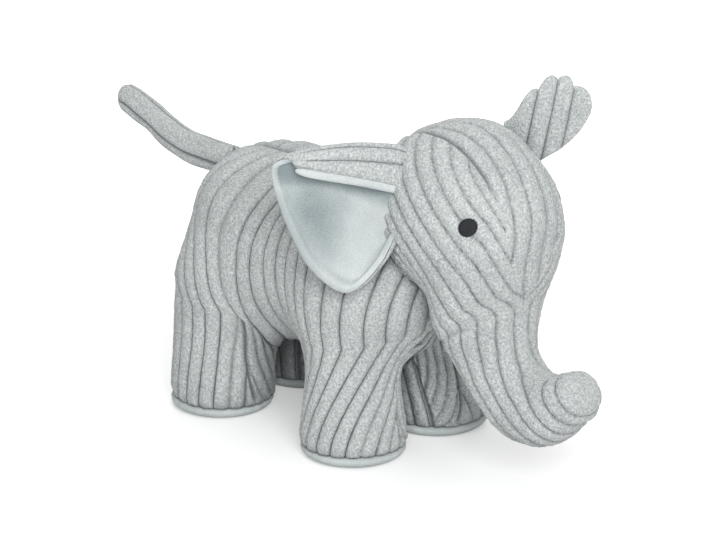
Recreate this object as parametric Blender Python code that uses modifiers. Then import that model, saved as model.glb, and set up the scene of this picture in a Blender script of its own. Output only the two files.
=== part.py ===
"""Stuffed elephant door stop in wide-wale corduroy.

Metres, +Z up, nose towards +X, the elephant's right side towards -Y, feet on z = 0.  Each stuffed form is a smooth
surface given by a few driving sizes.  The corduroy is laid on it as wales: every column of the body's panels is half
a wale, and the head's panels are cut along their wales, so crests lie on the form and grooves lie below it.
"""
import math

import bmesh
import bpy
import numpy as np
from mathutils import Vector
from mathutils.bvhtree import BVHTree

# Cloth
WALE_PITCH = 0.0102
WALE_DEPTH = 0.0016
CLOTH_GAP = 0.0003
SEAT_GAP = 0.0005

# Torso: three overlapping balls, each with a centre height and half length, half width and half height
RUMP_X, RUMP_Z = -0.037, 0.097
RUMP_SIZE = (0.048, 0.055, 0.051)
RUMP_DROP = 0.053
RUMP_POWER = 3
BARREL_Z = 0.097
BARREL_SIZE = (0.075, 0.056, 0.044)
CHEST_X, CHEST_Z = 0.042, 0.096
CHEST_SIZE = (0.051, 0.057, 0.050)
TORSO_HALF_LENGTH = 0.095
TORSO_HALF_WIDTH = 0.060
TORSO_HALF_HEIGHT = 0.046
LEVEL_Z = 0.092

# Legs and soles
HIND_LEG_X = -0.055
FORE_LEG_X = 0.051
LEG_Y = 0.033
FOOT_RADIUS = 0.030
HIP_RADIUS = 0.026
INNER_LEG_TAPER = 0.5
HIP_Z = 0.072
SOLE_HEIGHT = 0.0070
SOLE_FLAT_RADIUS = 0.0225
HALF_WALES_PER_LEG_SIDE = 20
HALF_WALES_OVER_ARCH = 6
FLANK_ROWS = 12
LEG_ROWS = 5
ARCH_Z = 0.0595
ARCH_HALF_LENGTH = 0.016
SEAM_CLEARANCE = 0.002
FRONT_WALE_SETBACK = 0.008

# Head and trunk: ends of chords in the middle plane (x, z), from the neck to the trunk's tip, and half widths
HEAD_UPPER = ((0.0670, 0.1485), (0.0640, 0.1662), (0.0700, 0.1826), (0.0920, 0.1930), (0.1220, 0.1904),
              (0.1460, 0.1738), (0.1555, 0.1479), (0.1525, 0.1216), (0.1465, 0.1022), (0.1460, 0.0866),
              (0.1510, 0.0727), (0.1600, 0.0664), (0.1680, 0.0666), (0.1730, 0.0698), (0.1780, 0.0721))
HEAD_LOWER = ((0.0910, 0.0985), (0.0918, 0.0973), (0.0926, 0.0961), (0.0936, 0.0949), (0.0948, 0.0935),
              (0.0958, 0.0915), (0.0966, 0.0885), (0.0980, 0.0836), (0.1015, 0.0756), (0.1070, 0.0626),
              (0.1180, 0.0446), (0.1360, 0.0306), (0.1570, 0.0254), (0.1760, 0.0305), (0.1900, 0.0457))
HEAD_HALF_WIDTH = (0.033, 0.0385, 0.041, 0.042, 0.042, 0.0415, 0.041, 0.0385, 0.033, 0.0265, 0.0225, 0.0205,
                   0.0195, 0.018, 0.0155)
TRUNK_END_DEPTH = 0.009
CREASE_STATION = 7.95
CREASE_DEPTH = 0.0022
GUSSET_HALF_WIDTH = (0.024, 0.025, 0.026, 0.026, 0.027, 0.027, 0.022, 0.014, 0.004, -0.006, -0.010, -0.010,
                     -0.010, -0.010, -0.010)
TRUNK_WALE_DRIFT = (0, 0, 0, 0, 0, 0, 0, 0, 0, -0.005, -0.003, 0.006, 0.013, 0.017, 0.020)
SIDE_WALE_START = 0.1975
TRUNK_SEAM_WALE = 0.2115

# Tail: centre line, and half sizes of its section at the root
TAIL_LINE = ((-0.0830, 0, 0.1320), (-0.1015, 0, 0.1327), (-0.1195, 0, 0.1339), (-0.1360, 0, 0.1394),
             (-0.1500, 0, 0.1454), (-0.1630, 0, 0.1503), (-0.1755, 0, 0.1527))
TAIL_HALF_HEIGHT = 0.0085
TAIL_HALF_WIDTH = 0.0055
TAIL_SEAT_GAP = 0.0009

# Eyes
EYE_X, EYE_Z = 0.139, 0.1515
EYE_RADIUS = 0.0053
EYE_THICKNESS = 0.0010

# Ears: points are (along the ear, height, forward of the ear's plane)
EAR_BACK_THICKNESS = 0.0024
EAR_LINING_THICKNESS = 0.0018
RIGHT_EAR_ORIGIN = (0.086, -0.036, 0.0)
RIGHT_EAR_ALONG = (-0.66, -0.75, 0.0)
RIGHT_EAR_ROOT = ((0.0000, 0.1339, 0.0000), (-0.0020, 0.1467, -0.0020), (-0.0010, 0.1614, -0.0020),
                  (0.0000, 0.1761, -0.0020), (0.0010, 0.1859, 0.0020), (0.0010, 0.1829, 0.0100),
                  (0.0010, 0.1722, 0.0130))
RIGHT_EAR_EDGE = ((0.0130, 0.1085, 0.0030), (0.0310, 0.1055, 0.0030), (0.0460, 0.1202, 0.0020),
                  (0.0565, 0.1418, 0.0010), (0.0650, 0.1663, 0.0000), (0.0625, 0.1761, 0.0020),
                  (0.0600, 0.1785, 0.0040))
RIGHT_EAR_CUP = 0.006
LEFT_EAR_ORIGIN = (0.098, 0.036, 0.0)
LEFT_EAR_ALONG = (0.64, 0.77, 0.0)
LEFT_EAR_ROOT = ((0.0050, 0.1588, 0.0000), (0.0030, 0.1637, -0.0010), (0.0010, 0.1686, -0.0020),
                 (0.0000, 0.1725, -0.0020), (-0.0010, 0.1765, -0.0010), (-0.0020, 0.1804, 0.0000),
                 (-0.0030, 0.1843, 0.0010))
LEFT_EAR_EDGE = ((0.0210, 0.1676, 0.0040), (0.0360, 0.1774, 0.0020), (0.0450, 0.1892, 0.0000),
                 (0.0410, 0.2010, -0.0020), (0.0290, 0.2108, -0.0020), (0.0150, 0.2044, 0.0000),
                 (0.0045, 0.1951, 0.0030))
LEFT_EAR_CUP = -0.005
EAR_WALES = 5
RIGHT_EAR_SEAT_GAP = 0.0027
LEFT_EAR_SEAT_GAP = 0.0014

COLLECTION = "elephant_door_stop"


def vec(*values):
    return np.array(values, float)


def start_scene():
    for old in list(bpy.data.objects):
        bpy.data.objects.remove(old, do_unlink=True)
    collection = bpy.data.collections.new(COLLECTION)
    bpy.context.scene.collection.children.link(collection)
    return collection


def cloth(name, colour, roughness):
    """A plain cloth finish for the solids."""
    material = bpy.data.materials.new(name)
    material.use_nodes = True
    shader = material.node_tree.nodes["Principled BSDF"]
    shader.inputs["Base Color"].default_value = (*colour, 1)
    shader.inputs["Roughness"].default_value = roughness
    shader.inputs["Metallic"].default_value = 0
    return material


# Stuffed forms

def ball(p, centre, size, drop=None, power=2):
    """Distance to an ellipsoid, near its surface. A drop gives its lower half a height of its own, and a higher
    power squares its shoulders."""
    size = np.broadcast_to(size, p.shape).copy()
    if drop is not None:
        size[..., 2] = np.where(p[..., 2] < centre[2], drop, size[..., 2])
    q = np.abs(p - centre) / size + 1e-9
    level = np.hypot(q[..., 0], q[..., 1])
    k = (level ** power + q[..., 2] ** power) ** (1 / power)
    sideways = (level / k) ** (power - 1) / level
    steepness = np.sqrt((sideways * q[..., 0] / size[..., 0]) ** 2 + (sideways * q[..., 1] / size[..., 1]) ** 2
                        + ((q[..., 2] / k) ** (power - 1) / size[..., 2]) ** 2)
    return (k - 1) / steepness


def blend(a, b, width):
    """Smaller of two distances, rounded where they meet."""
    h = np.clip(0.5 + 0.5 * (b - a) / width, 0, 1)
    return b * (1 - h) + a * h - width * h * (1 - h)


def leg_centre(z, leg_x, side):
    rise = np.clip(z / HIP_Z, 0, 1)
    return leg_x * (1 - 0.06 * rise), side * LEG_Y * (1 - 0.10 * rise)


def leg_distance(p, leg_x, side):
    """Distance to one upright leg that widens towards its foot."""
    x, y = leg_centre(p[..., 2], leg_x, side)
    rise = np.clip(p[..., 2] / HIP_Z, 0, 1)
    radius = FOOT_RADIUS + (HIP_RADIUS - FOOT_RADIUS) * rise * rise * (3 - 2 * rise)
    across = (p[..., 1] - y) * side
    across = np.where(across < 0, across * (1 + INNER_LEG_TAPER * rise * rise), across)
    return np.hypot(p[..., 0] - x, across) - radius


def body_distance(p):
    rump = ball(p, vec(RUMP_X, 0, RUMP_Z), vec(*RUMP_SIZE), RUMP_DROP, RUMP_POWER)
    torso = blend(rump, ball(p, vec(0, 0, BARREL_Z), vec(*BARREL_SIZE)), 0.02)
    whole = blend(torso, ball(p, vec(CHEST_X, 0, CHEST_Z), vec(*CHEST_SIZE)), 0.02)
    for leg_x in (HIND_LEG_X, FORE_LEG_X):
        legs = blend(leg_distance(p, leg_x, -1), leg_distance(p, leg_x, 1), 0.006)
        whole = blend(whole, np.maximum(legs, p[..., 2] - BARREL_Z), 0.016)
    return whole


def slope(p, step=2e-4):
    """Gradient of the body's distance."""
    result = np.empty_like(p)
    for axis in range(3):
        offset = np.zeros(3)
        offset[axis] = step
        result[..., axis] = (body_distance(p + offset) - body_distance(p - offset)) / (2 * step)
    return result


def settle(p, in_middle):
    """Moves points onto the body's surface. Points of the middle plane stay in it."""
    p = p.copy()
    for _ in range(12):
        g = slope(p)
        g[..., 1] = np.where(in_middle, 0, g[..., 1])
        p = p - np.clip(body_distance(p) / ((g ** 2).sum(-1) + 1e-9), -0.02, 0.02)[..., None] * g
    p[..., 1] = np.where(in_middle, 0, p[..., 1])
    return p


def sink(p, depth, in_middle):
    """Moves points of the body's surface inwards by a depth."""
    g = slope(p)
    g[..., 1] = np.where(in_middle, 0, g[..., 1])
    g /= np.linalg.norm(g, axis=-1, keepdims=True)
    return p - depth[..., None] * g


def loop(points, angle):
    """Closed smooth curve through four points, at 0, 90, 180 and 270 degrees."""
    a, b, c, d = (vec(*point) for point in points)
    t = angle[:, None]
    curve = ((a + b + c + d) / 4 + (a - c) / 2 * np.cos(t) + (b - d) / 2 * np.sin(t)
             + (a - b + c - d) / 4 * np.cos(2 * t))
    curve[1:-1, 1] = np.minimum(curve[1:-1, 1], -SEAM_CLEARANCE)
    return curve


def equal_steps(curve, count):
    """Points at equal distances along a finely sampled curve."""
    run = np.r_[0, np.cumsum(np.linalg.norm(np.diff(curve, axis=0), axis=1))]
    stops = np.linspace(0, run[-1], count + 1)
    return np.stack([np.interp(stops, run, curve[:, k]) for k in range(3)], 1)


def smooth_line(points, count):
    """Points along a smooth curve through the given ones (a Catmull-Rom spline)."""
    p = np.asarray(points, float)
    if p.ndim == 1:
        p = p[:, None]
    last = len(p) - 1
    p = np.vstack([2 * p[0] - p[1], p, 2 * p[-1] - p[-2]])
    t = np.linspace(0, last, count + 1)
    i = np.minimum(t.astype(int), last - 1)
    f = (t - i)[:, None]
    a, b, c, d = p[i], p[i + 1], p[i + 2], p[i + 3]
    return 0.5 * (2 * b + (c - a) * f + (2 * a - 5 * b + 4 * c - d) * f ** 2 + (3 * b - 3 * c + d - a) * f ** 3)


def body_guides():
    """Seam loops round the tops of the legs, the arch between them, and the lines that carry the flank's wales."""
    outer = np.linspace(-math.pi / 2, math.pi / 2, 200)
    inner = np.linspace(math.pi / 2, 1.5 * math.pi, 200)
    hip_y = TORSO_HALF_WIDTH - 0.001
    arch_y = LEG_Y + 0.013
    rear = (-TORSO_HALF_LENGTH + 0.009, 0, 0.072)
    front = (TORSO_HALF_LENGTH - 0.008, 0, 0.070)
    hind = ((HIND_LEG_X + 0.006, -hip_y, 0.067), (-ARCH_HALF_LENGTH, -arch_y, ARCH_Z),
            (HIND_LEG_X + 0.007, -0.011, 0.043), rear)
    fore = ((FORE_LEG_X - 0.001, -hip_y, 0.065), front, (FORE_LEG_X - 0.002, -0.011, 0.044),
            (ARCH_HALF_LENGTH, -arch_y, ARCH_Z))
    count = HALF_WALES_PER_LEG_SIDE
    guides = {"hind_outer": equal_steps(loop(hind, outer), count), "hind_inner": equal_steps(loop(hind, inner), count),
              "fore_outer": equal_steps(loop(fore, outer), count), "fore_inner": equal_steps(loop(fore, inner), count)}
    a = np.linspace(0, 1, HALF_WALES_OVER_ARCH + 1)[:, None]
    guides["arch"] = vec(*hind[1]) * (1 - a) + vec(*fore[3]) * a + vec(0, 0, 0.004) * 4 * a * (1 - a)
    guides["waist"] = np.concatenate([guides["hind_outer"][:-1], guides["arch"], guides["fore_outer"][1:]])
    columns = 2 * count + HALF_WALES_OVER_ARCH
    squareness = 2 / 2.4
    for name, start in (("level", 4), ("spine", 6)):
        t = np.radians(np.linspace(start, 180 - start, 400))
        along = -TORSO_HALF_LENGTH * np.sign(np.cos(t)) * np.abs(np.cos(t)) ** squareness
        along -= FRONT_WALE_SETBACK * np.sin(math.pi * np.clip((t / math.pi - 0.42) / 0.53, 0, 1))
        bulge = np.sin(t) ** squareness
        if name == "level":
            curve = np.stack([along, -TORSO_HALF_WIDTH * bulge, np.full_like(t, LEVEL_Z)], 1)
            curve[[0, -1], 1] = 0
        else:
            curve = np.stack([along, 0 * t, BARREL_Z + TORSO_HALF_HEIGHT * bulge], 1)
        guides[name] = equal_steps(curve, columns)
    return guides


def flank_panel(guides):
    """Side panel from the waist to the spine. Even columns are grooves, and the seams at its edges are sunk."""
    t = np.linspace(0, 1, FLANK_ROWS + 1)[None, :, None]
    m = 0.36
    p = (guides["waist"][:, None] * (t - m) * (t - 1) / m + guides["level"][:, None] * t * (t - 1) / (m * (m - 1))
         + guides["spine"][:, None] * t * (t - m) / (1 - m))
    in_middle = np.zeros(p.shape[:2], bool)
    in_middle[[0, -1], :] = True
    in_middle[:, -1] = True
    p = settle(p, in_middle)
    depth = np.zeros(p.shape[:2])
    depth[::2] = WALE_DEPTH
    depth[:, -1] = WALE_DEPTH
    arch = slice(HALF_WALES_PER_LEG_SIDE, HALF_WALES_PER_LEG_SIDE + HALF_WALES_OVER_ARCH + 1)
    depth[arch, 0] = WALE_DEPTH
    return sink(p, depth, in_middle)


def leg_panel(guides, fore):
    """Tube of one leg, from the sole's seam to the waist outside and to the belly's seam inside."""
    name = "fore" if fore else "hind"
    top = np.concatenate([guides[name + "_outer"], guides[name + "_inner"][1:]])
    turn = np.linspace(-math.pi / 2, 1.5 * math.pi, len(top))
    x, y = leg_centre(0.0, FORE_LEG_X if fore else HIND_LEG_X, -1)
    foot = np.stack([x + FOOT_RADIUS * np.sin(turn), y - FOOT_RADIUS * np.cos(turn),
                     np.full_like(turn, SOLE_HEIGHT)], 1)
    v = np.linspace(0, 1, LEG_ROWS + 1)[None, :, None]
    p = foot[:, None] * (1 - v) + top[:, None] * v
    in_middle = np.zeros(p.shape[:2], bool)
    in_middle[HALF_WALES_PER_LEG_SIDE if fore else [0, -1], -1] = True
    p = settle(p, in_middle)
    depth = np.zeros(p.shape[:2])
    depth[::2] = WALE_DEPTH
    depth[HALF_WALES_PER_LEG_SIDE:, -1] = WALE_DEPTH
    if fore:
        depth[0, -1] = WALE_DEPTH
    p = sink(p, depth, in_middle)
    p[:, 0, 2] = SOLE_HEIGHT
    return p


def belly_panel(guides):
    """Smooth panel under the belly, between the legs' inner seams, the arch and the middle plane."""
    hind, fore, arch = guides["hind_inner"], guides["fore_inner"][::-1], guides["arch"]
    i = np.linspace(0, 1, HALF_WALES_OVER_ARCH + 1)[:, None, None]
    k = np.linspace(0, 1, HALF_WALES_PER_LEG_SIDE + 1)[None, :, None]
    middle = hind[-1] * (1 - i[:, 0]) + fore[-1] * i[:, 0] - vec(0, 0, 0.024) * 4 * i[:, 0] * (1 - i[:, 0])
    p = (hind[None] * (1 - i) + fore[None] * i + arch[:, None] * (1 - k) + middle[:, None] * k
         - hind[0] * (1 - i) * (1 - k) - fore[0] * i * (1 - k) - hind[-1] * (1 - i) * k - fore[-1] * i * k)
    in_middle = np.zeros(p.shape[:2], bool)
    in_middle[:, -1] = True
    p = settle(p, in_middle)
    depth = np.zeros(p.shape[:2])
    depth[[0, -1], :] = WALE_DEPTH
    depth[:, 0] = WALE_DEPTH
    return sink(p, depth, in_middle)


def add_panel(bm, points):
    """A grid of faces whose corners are the given array of points."""
    m, n = points.shape[0] - 1, points.shape[1] - 1
    made = bmesh.ops.create_grid(bm, x_segments=m, y_segments=n, size=0.5)["verts"]
    grid = [[None] * (n + 1) for _ in range(m + 1)]
    for vert in made:
        i, j = round((vert.co.x + 0.5) * m), round((vert.co.y + 0.5) * n)
        vert.co = points[i, j]
        grid[i][j] = vert
    return grid


def mesh_object(name, bm, material, collection):
    bmesh.ops.recalc_face_normals(bm, faces=bm.faces)
    mesh = bpy.data.meshes.new(name)
    bm.to_mesh(mesh)
    mesh.materials.append(material)
    thing = bpy.data.objects.new(name, mesh)
    collection.objects.link(thing)
    return thing


def mirrored(thing):
    modifier = thing.modifiers.new("other_side", "MIRROR")
    modifier.use_axis = (False, True, False)
    modifier.use_mirror_merge = True
    modifier.merge_threshold = 0.0001
    return thing


def neck_plane():
    """Normal and offset of the flat seam where the head is sewn to the body."""
    upper, lower = vec(*HEAD_UPPER[0]), vec(*HEAD_LOWER[0])
    run = (upper - lower) / np.linalg.norm(upper - lower)
    normal = vec(run[1], 0, -run[0])
    return normal, float(normal[0] * upper[0] + normal[2] * upper[1])


def make_body(material, collection):
    guides = body_guides()
    normal, offset = neck_plane()
    bm = bmesh.new()
    for points in (flank_panel(guides), leg_panel(guides, False), leg_panel(guides, True), belly_panel(guides)):
        past = np.maximum(points @ normal - (offset - CLOTH_GAP), 0)
        add_panel(bm, points - past[..., None] * normal)
    bmesh.ops.remove_doubles(bm, verts=bm.verts, dist=0.00005)
    rims = [e for e in bm.edges if e.is_boundary and abs(e.verts[0].co.z - SOLE_HEIGHT) < 0.0001
            and abs(e.verts[1].co.z - SOLE_HEIGHT) < 0.0001]
    bmesh.ops.contextual_create(bm, geom=[e for e in rims if e.verts[0].co.x > 0])
    bmesh.ops.contextual_create(bm, geom=[e for e in rims if e.verts[0].co.x < 0])
    return mirrored(mesh_object("body", bm, material, collection))


# Head

def head_form(stations, around):
    """Half of the head and trunk: half ellipses on chords of the side view, then a rounded end."""
    upper = smooth_line(HEAD_UPPER, stations)
    lower = smooth_line(HEAD_LOWER, stations)
    wide = smooth_line(HEAD_HALF_WIDTH, stations)
    station = np.linspace(0, len(HEAD_UPPER) - 1, stations + 1)
    dome = np.radians((25, 50, 72))
    tip, reach = (upper[-1] + lower[-1]) / 2, (upper[-1] - lower[-1]) / 2
    ahead = vec(reach[1], -reach[0]) / np.linalg.norm(reach) * TRUNK_END_DEPTH
    upper = np.vstack([upper] + [tip + reach * math.cos(w) + ahead * math.sin(w) for w in dome])
    lower = np.vstack([lower] + [tip - reach * math.cos(w) + ahead * math.sin(w) for w in dome])
    wide = np.vstack([wide] + [wide[-1:] * math.cos(w) for w in dome])
    station = np.r_[station, station[-1] + np.sin(dome) * 0.6]
    turn = np.linspace(-math.pi / 2, math.pi / 2, around + 1)
    middle, half = (upper + lower) / 2, (upper - lower) / 2
    p = np.stack([middle[:, None, 0] + half[:, None, 0] * np.sin(turn), -wide * np.cos(turn),
                  middle[:, None, 1] + half[:, None, 1] * np.sin(turn)], -1)
    p[:, [0, -1], 1] = 0
    return p, station


def head_lines(p, station):
    """Wale numbers of the side panel and the gusset, and the distance from the seam between them."""
    gap = np.linalg.norm(np.diff(p, axis=1), axis=2)
    from_top = np.concatenate([np.cumsum(gap[:, ::-1], axis=1)[:, ::-1], np.zeros((len(p), 1))], axis=1)
    steps = np.arange(len(HEAD_UPPER))
    drift = np.interp(station, steps, TRUNK_WALE_DRIFT)[:, None]
    cheek = (p[..., 0] + p[..., 2]) / math.sqrt(2)
    trunk = TRUNK_SEAM_WALE - from_top + drift
    share = np.clip((station[:, None] - 6.2) / 1.8, 0, 1)
    share = share * share * (3 - 2 * share)
    side = (cheek * (1 - share) + trunk * share - SIDE_WALE_START) / WALE_PITCH
    gusset = from_top / WALE_PITCH + 0.5
    seam = from_top - np.interp(station, steps, GUSSET_HALF_WIDTH)[:, None]
    return side, gusset, seam


def cut_at(bm, value, level, faces, near=0.0009):
    """Cuts the faces along the line where the value of their corners is the level."""
    on_line = set()
    edges = {e for f in faces for e in f.edges}
    for vert in {v for e in edges for v in e.verts}:
        if abs(vert[value] - level) < near:
            vert[value] = level
            on_line.add(vert)
    for edge in edges:
        a, b = edge.verts
        if (a[value] - level) * (b[value] - level) < 0:
            share = (level - a[value]) / (b[value] - a[value])
            _, new = bmesh.utils.edge_split(edge, a, share)
            new[value] = level
            on_line.add(new)
    before = set(bm.faces)
    bmesh.ops.connect_verts(bm, verts=list(on_line))
    return [f for f in bm.faces if f not in before]


def panel_faces(bm, seam, inside_gusset):
    """Faces of the gusset or of the side panel."""
    result = []
    for face in bm.faces:
        middle = sum(v[seam] for v in face.verts) / len(face.verts)
        if (middle < 0) == inside_gusset:
            result.append(face)
    return result


def make_head(material, collection):
    p, station = head_form(26, 12)
    side, gusset, seam = head_lines(p, station)
    bm = bmesh.new()
    layers = {name: bm.verts.layers.float.new(name) for name in ("side", "gusset", "seam", "station")}
    grid = add_panel(bm, p)
    for i, row in enumerate(grid):
        for j, vert in enumerate(row):
            vert[layers["side"]] = side[i, j]
            vert[layers["gusset"]] = gusset[i, j]
            vert[layers["seam"]] = seam[i, j]
            vert[layers["station"]] = station[i]
    neck = [row_vert for row_vert in grid[0]]
    tip = [row_vert for row_vert in grid[-1]]
    cut_at(bm, layers["seam"], 0.0, list(bm.faces))
    for name, in_gusset in (("gusset", True), ("side", False)):
        layer = layers[name]
        faces = panel_faces(bm, layers["seam"], in_gusset)
        low = min(v[layer] for f in faces for v in f.verts)
        high = max(v[layer] for f in faces for v in f.verts)
        for half in range(math.ceil(2 * low), math.floor(2 * high) + 1):
            cut_at(bm, layer, half / 2, panel_faces(bm, layers["seam"], in_gusset), near=0.09)
    bm.normal_update()
    moves = []
    for vert in bm.verts:
        across = vert[layers["gusset"]] if vert[layers["seam"]] < 0 else vert[layers["side"]]
        depth = WALE_DEPTH * abs(2 * (across - math.floor(across)) - 1)
        if abs(vert[layers["seam"]]) < 1e-6:
            depth = WALE_DEPTH
        at = vert[layers["station"]]
        fold = math.exp(-((at - CREASE_STATION) / 0.3) ** 2)
        depth += CREASE_DEPTH * fold * min(1, abs(vert.co.y) / 0.02)
        depth *= min(1, at / 0.4)
        inward = -vert.normal
        if abs(vert.co.y) < 1e-6:
            inward.y = 0
            inward.normalize()
        moves.append((vert, inward * depth))
    inside = Vector(p.reshape(-1, 3).mean(0))
    outward = sum((v.normal.dot(v.co - inside) for v in bm.verts)) > 0
    for vert, move in moves:
        vert.co += move if outward else -move
        if abs(vert.co.y) < 1e-6:
            vert.co.y = 0
    for row in (neck, tip):
        bm.verts.ensure_lookup_table()
        ends = {v for v in row if v.is_valid}
        rim = [e for e in bm.edges if e.is_boundary and abs(e.verts[0].co.y) + abs(e.verts[1].co.y) > 1e-7
               and abs(e.verts[0][layers["station"]] - e.verts[1][layers["station"]]) < 1e-4
               and any(abs(e.verts[0][layers["station"]] - v[layers["station"]]) < 1e-4 for v in ends)]
        bmesh.ops.contextual_create(bm, geom=rim)
    bmesh.ops.dissolve_degenerate(bm, edges=bm.edges, dist=0.0003)
    return mirrored(mesh_object("head", bm, material, collection))


# What is sewn on

def surface_tree(points):
    """Tree of a form's smooth surface, for seating pieces on it."""
    bm = bmesh.new()
    for array in points:
        add_panel(bm, array)
        add_panel(bm, array * vec(1, -1, 1))
    bm.normal_update()
    tree = BVHTree.FromBMesh(bm)
    bm.free()
    return tree


def seat_outside(p, tree, side, gap):
    """Keeps the middle surface of an ear clear of a form, sideways."""
    p = p.copy()
    for index in np.ndindex(p.shape[:-1]):
        x, y, z = p[index]
        hit = tree.ray_cast(Vector((x, side * 0.2, z)), Vector((0, -side, 0)))[0]
        if hit is not None:
            limit = side * hit.y + gap
            p[index + (1,)] = side * max(side * y, limit)
    return p


def ear_surface(origin, along, root, edge, cup, trees, gap, rows, columns):
    """Middle surface of an ear, from its root on the head to its edge, and the direction that its lining faces."""
    origin, along = vec(*origin), vec(*along)
    along /= np.linalg.norm(along)
    forward = np.cross(vec(0, 0, 1), along)
    inner, outer = smooth_line(root, columns), smooth_line(edge, columns)
    r = np.linspace(0, 1, rows + 1)[:, None, None]
    flat = inner[None] * (1 - r) + outer[None] * r
    t = np.linspace(0, 1, columns + 1)[None, :]
    hollow = cup * np.sin(math.pi * r[..., 0]) * np.sin(math.pi * np.clip(t / 0.75, 0, 1))
    p = (origin + flat[..., :1] * along + flat[..., 1:2] * vec(0, 0, 1)
         + (flat[..., 2:] - hollow[..., None]) * forward)
    for tree in trees:
        p = seat_outside(p, tree, math.copysign(1, origin[1]), gap)
    across = np.gradient(p, axis=1)
    down = np.gradient(p, axis=0)
    normal = np.cross(across, down)
    normal /= np.linalg.norm(normal, axis=-1, keepdims=True)
    if (normal @ forward).sum() < 0:
        normal = -normal
    return p, normal


def make_ear(side, layer, trees, material, collection):
    """One cloth layer of an ear: the corduroy back with its wales, or the smooth lining."""
    rows, columns = 6, 2 * EAR_WALES + 4
    if side < 0:
        p, normal = ear_surface(RIGHT_EAR_ORIGIN, RIGHT_EAR_ALONG, RIGHT_EAR_ROOT, RIGHT_EAR_EDGE, RIGHT_EAR_CUP,
                                trees, RIGHT_EAR_SEAT_GAP, rows, columns)
    else:
        p, normal = ear_surface(LEFT_EAR_ORIGIN, LEFT_EAR_ALONG, LEFT_EAR_ROOT, LEFT_EAR_EDGE, LEFT_EAR_CUP,
                                trees, LEFT_EAR_SEAT_GAP, rows, columns)
    rim = np.ones(p.shape[:2])
    rim[-1, :] = 0.45
    rim[:, 0] = np.minimum(rim[:, 0], 0.45)
    rim[:, -1] = np.minimum(rim[:, -1], 0.45)
    if layer == "back":
        wale = np.full(p.shape[:2], 1.0)
        wale[:, ::2] = 1 - 0.8 * WALE_DEPTH / EAR_BACK_THICKNESS
        near, far = -CLOTH_GAP / 2 * np.ones_like(rim), -CLOTH_GAP / 2 - EAR_BACK_THICKNESS * rim * wale
    else:
        near, far = CLOTH_GAP / 2 * np.ones_like(rim), CLOTH_GAP / 2 + EAR_LINING_THICKNESS * rim
    bm = bmesh.new()
    for offset in (near, far):
        add_panel(bm, p + normal * offset[..., None])
    bmesh.ops.bridge_loops(bm, edges=[e for e in bm.edges if e.is_boundary])
    name = "ear_{}_{}".format("right" if side < 0 else "left", layer)
    return mesh_object(name, bm, material, collection)


def make_tail(tree, material, collection):
    """Flattened stuffed strip with three wales on each face, closed at its tip."""
    around, stations = 16, 11
    line = smooth_line(TAIL_LINE, stations)
    ahead = np.gradient(line, axis=0)
    ahead /= np.linalg.norm(ahead, axis=1)[:, None]
    up = np.cross(ahead, vec(0, -1, 0))
    up *= np.sign(up[:, 2:])
    s = np.linspace(0, 1, stations + 1)
    end = np.sqrt(np.clip(1 - np.clip((s - 0.86) / 0.15, 0, 1) ** 2, 0.04, 1))
    turn = np.arange(around) * 2 * math.pi / around
    lobes = 1 - 0.16 * (np.arange(around) % 2)
    tall = TAIL_HALF_HEIGHT * (1 - 0.08 * s) * end
    wide = TAIL_HALF_WIDTH * (1 - 0.08 * s) * end
    p = (line[:, None] + up[:, None] * (tall[:, None] * np.cos(turn) * lobes)[..., None]
         + vec(0, 1, 0) * (wide[:, None] * np.sin(turn) * lobes)[..., None])
    centre = p[0].mean(0)
    p = np.concatenate([np.broadcast_to(centre, p[:1].shape), (centre + p[:1]) / 2, p])
    for index in np.ndindex(3, around):
        x, y, z = p[index]
        hit = tree.ray_cast(Vector((-0.3, y, z)), Vector((1, 0, 0)))[0]
        p[index + (0,)] = hit.x - TAIL_SEAT_GAP
    p[3, :, 0] = np.minimum(p[3, :, 0], p[2, :, 0] - 0.004)
    bm = bmesh.new()
    add_panel(bm, np.concatenate([p, p[:, :1]], axis=1))
    bmesh.ops.remove_doubles(bm, verts=bm.verts, dist=0.00001)
    bmesh.ops.contextual_create(bm, geom=[e for e in bm.edges if e.is_boundary])
    return mesh_object("tail", bm, material, collection)


def make_eye(side, tree, material, collection):
    """Low round pad of stitches that follows the head's surface."""
    rings, around = 3, 16
    bm = bmesh.new()
    turn = np.arange(around) * 2 * math.pi / around
    hit, facing = tree.ray_cast(Vector((EYE_X, side * 0.2, EYE_Z)), Vector((0, -side, 0)))[:2]
    facing = facing if facing.y * side > 0 else -facing
    across = facing.cross(Vector((0, 0, 1))).normalized()
    upward = across.cross(facing).normalized()
    layers = []
    for top in (False, True):
        rows = []
        for ring in range(1, rings + 1):
            radius = EYE_RADIUS * ring / rings
            lift = SEAT_GAP
            if top:
                lift += EYE_THICKNESS * (1 if ring < rings else 0.35)
            row = []
            for angle in turn:
                at = hit + across * (radius * math.cos(angle)) + upward * (radius * math.sin(angle))
                start = at + facing * 0.02
                found = tree.ray_cast(start, -facing)[0]
                row.append(bm.verts.new(found + facing * lift))
            rows.append(row)
        centre = bm.verts.new(hit + facing * (SEAT_GAP + (EYE_THICKNESS if top else 0)))
        for j in range(around):
            k = (j + 1) % around
            bm.faces.new((centre, rows[0][j], rows[0][k]))
            for ring in range(rings - 1):
                bm.faces.new((rows[ring][j], rows[ring + 1][j], rows[ring + 1][k], rows[ring][k]))
        layers.append(rows[-1])
    for j in range(around):
        k = (j + 1) % around
        bm.faces.new((layers[0][j], layers[0][k], layers[1][k], layers[1][j]))
    return mesh_object("eye_right" if side < 0 else "eye_left", bm, material, collection)


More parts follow.
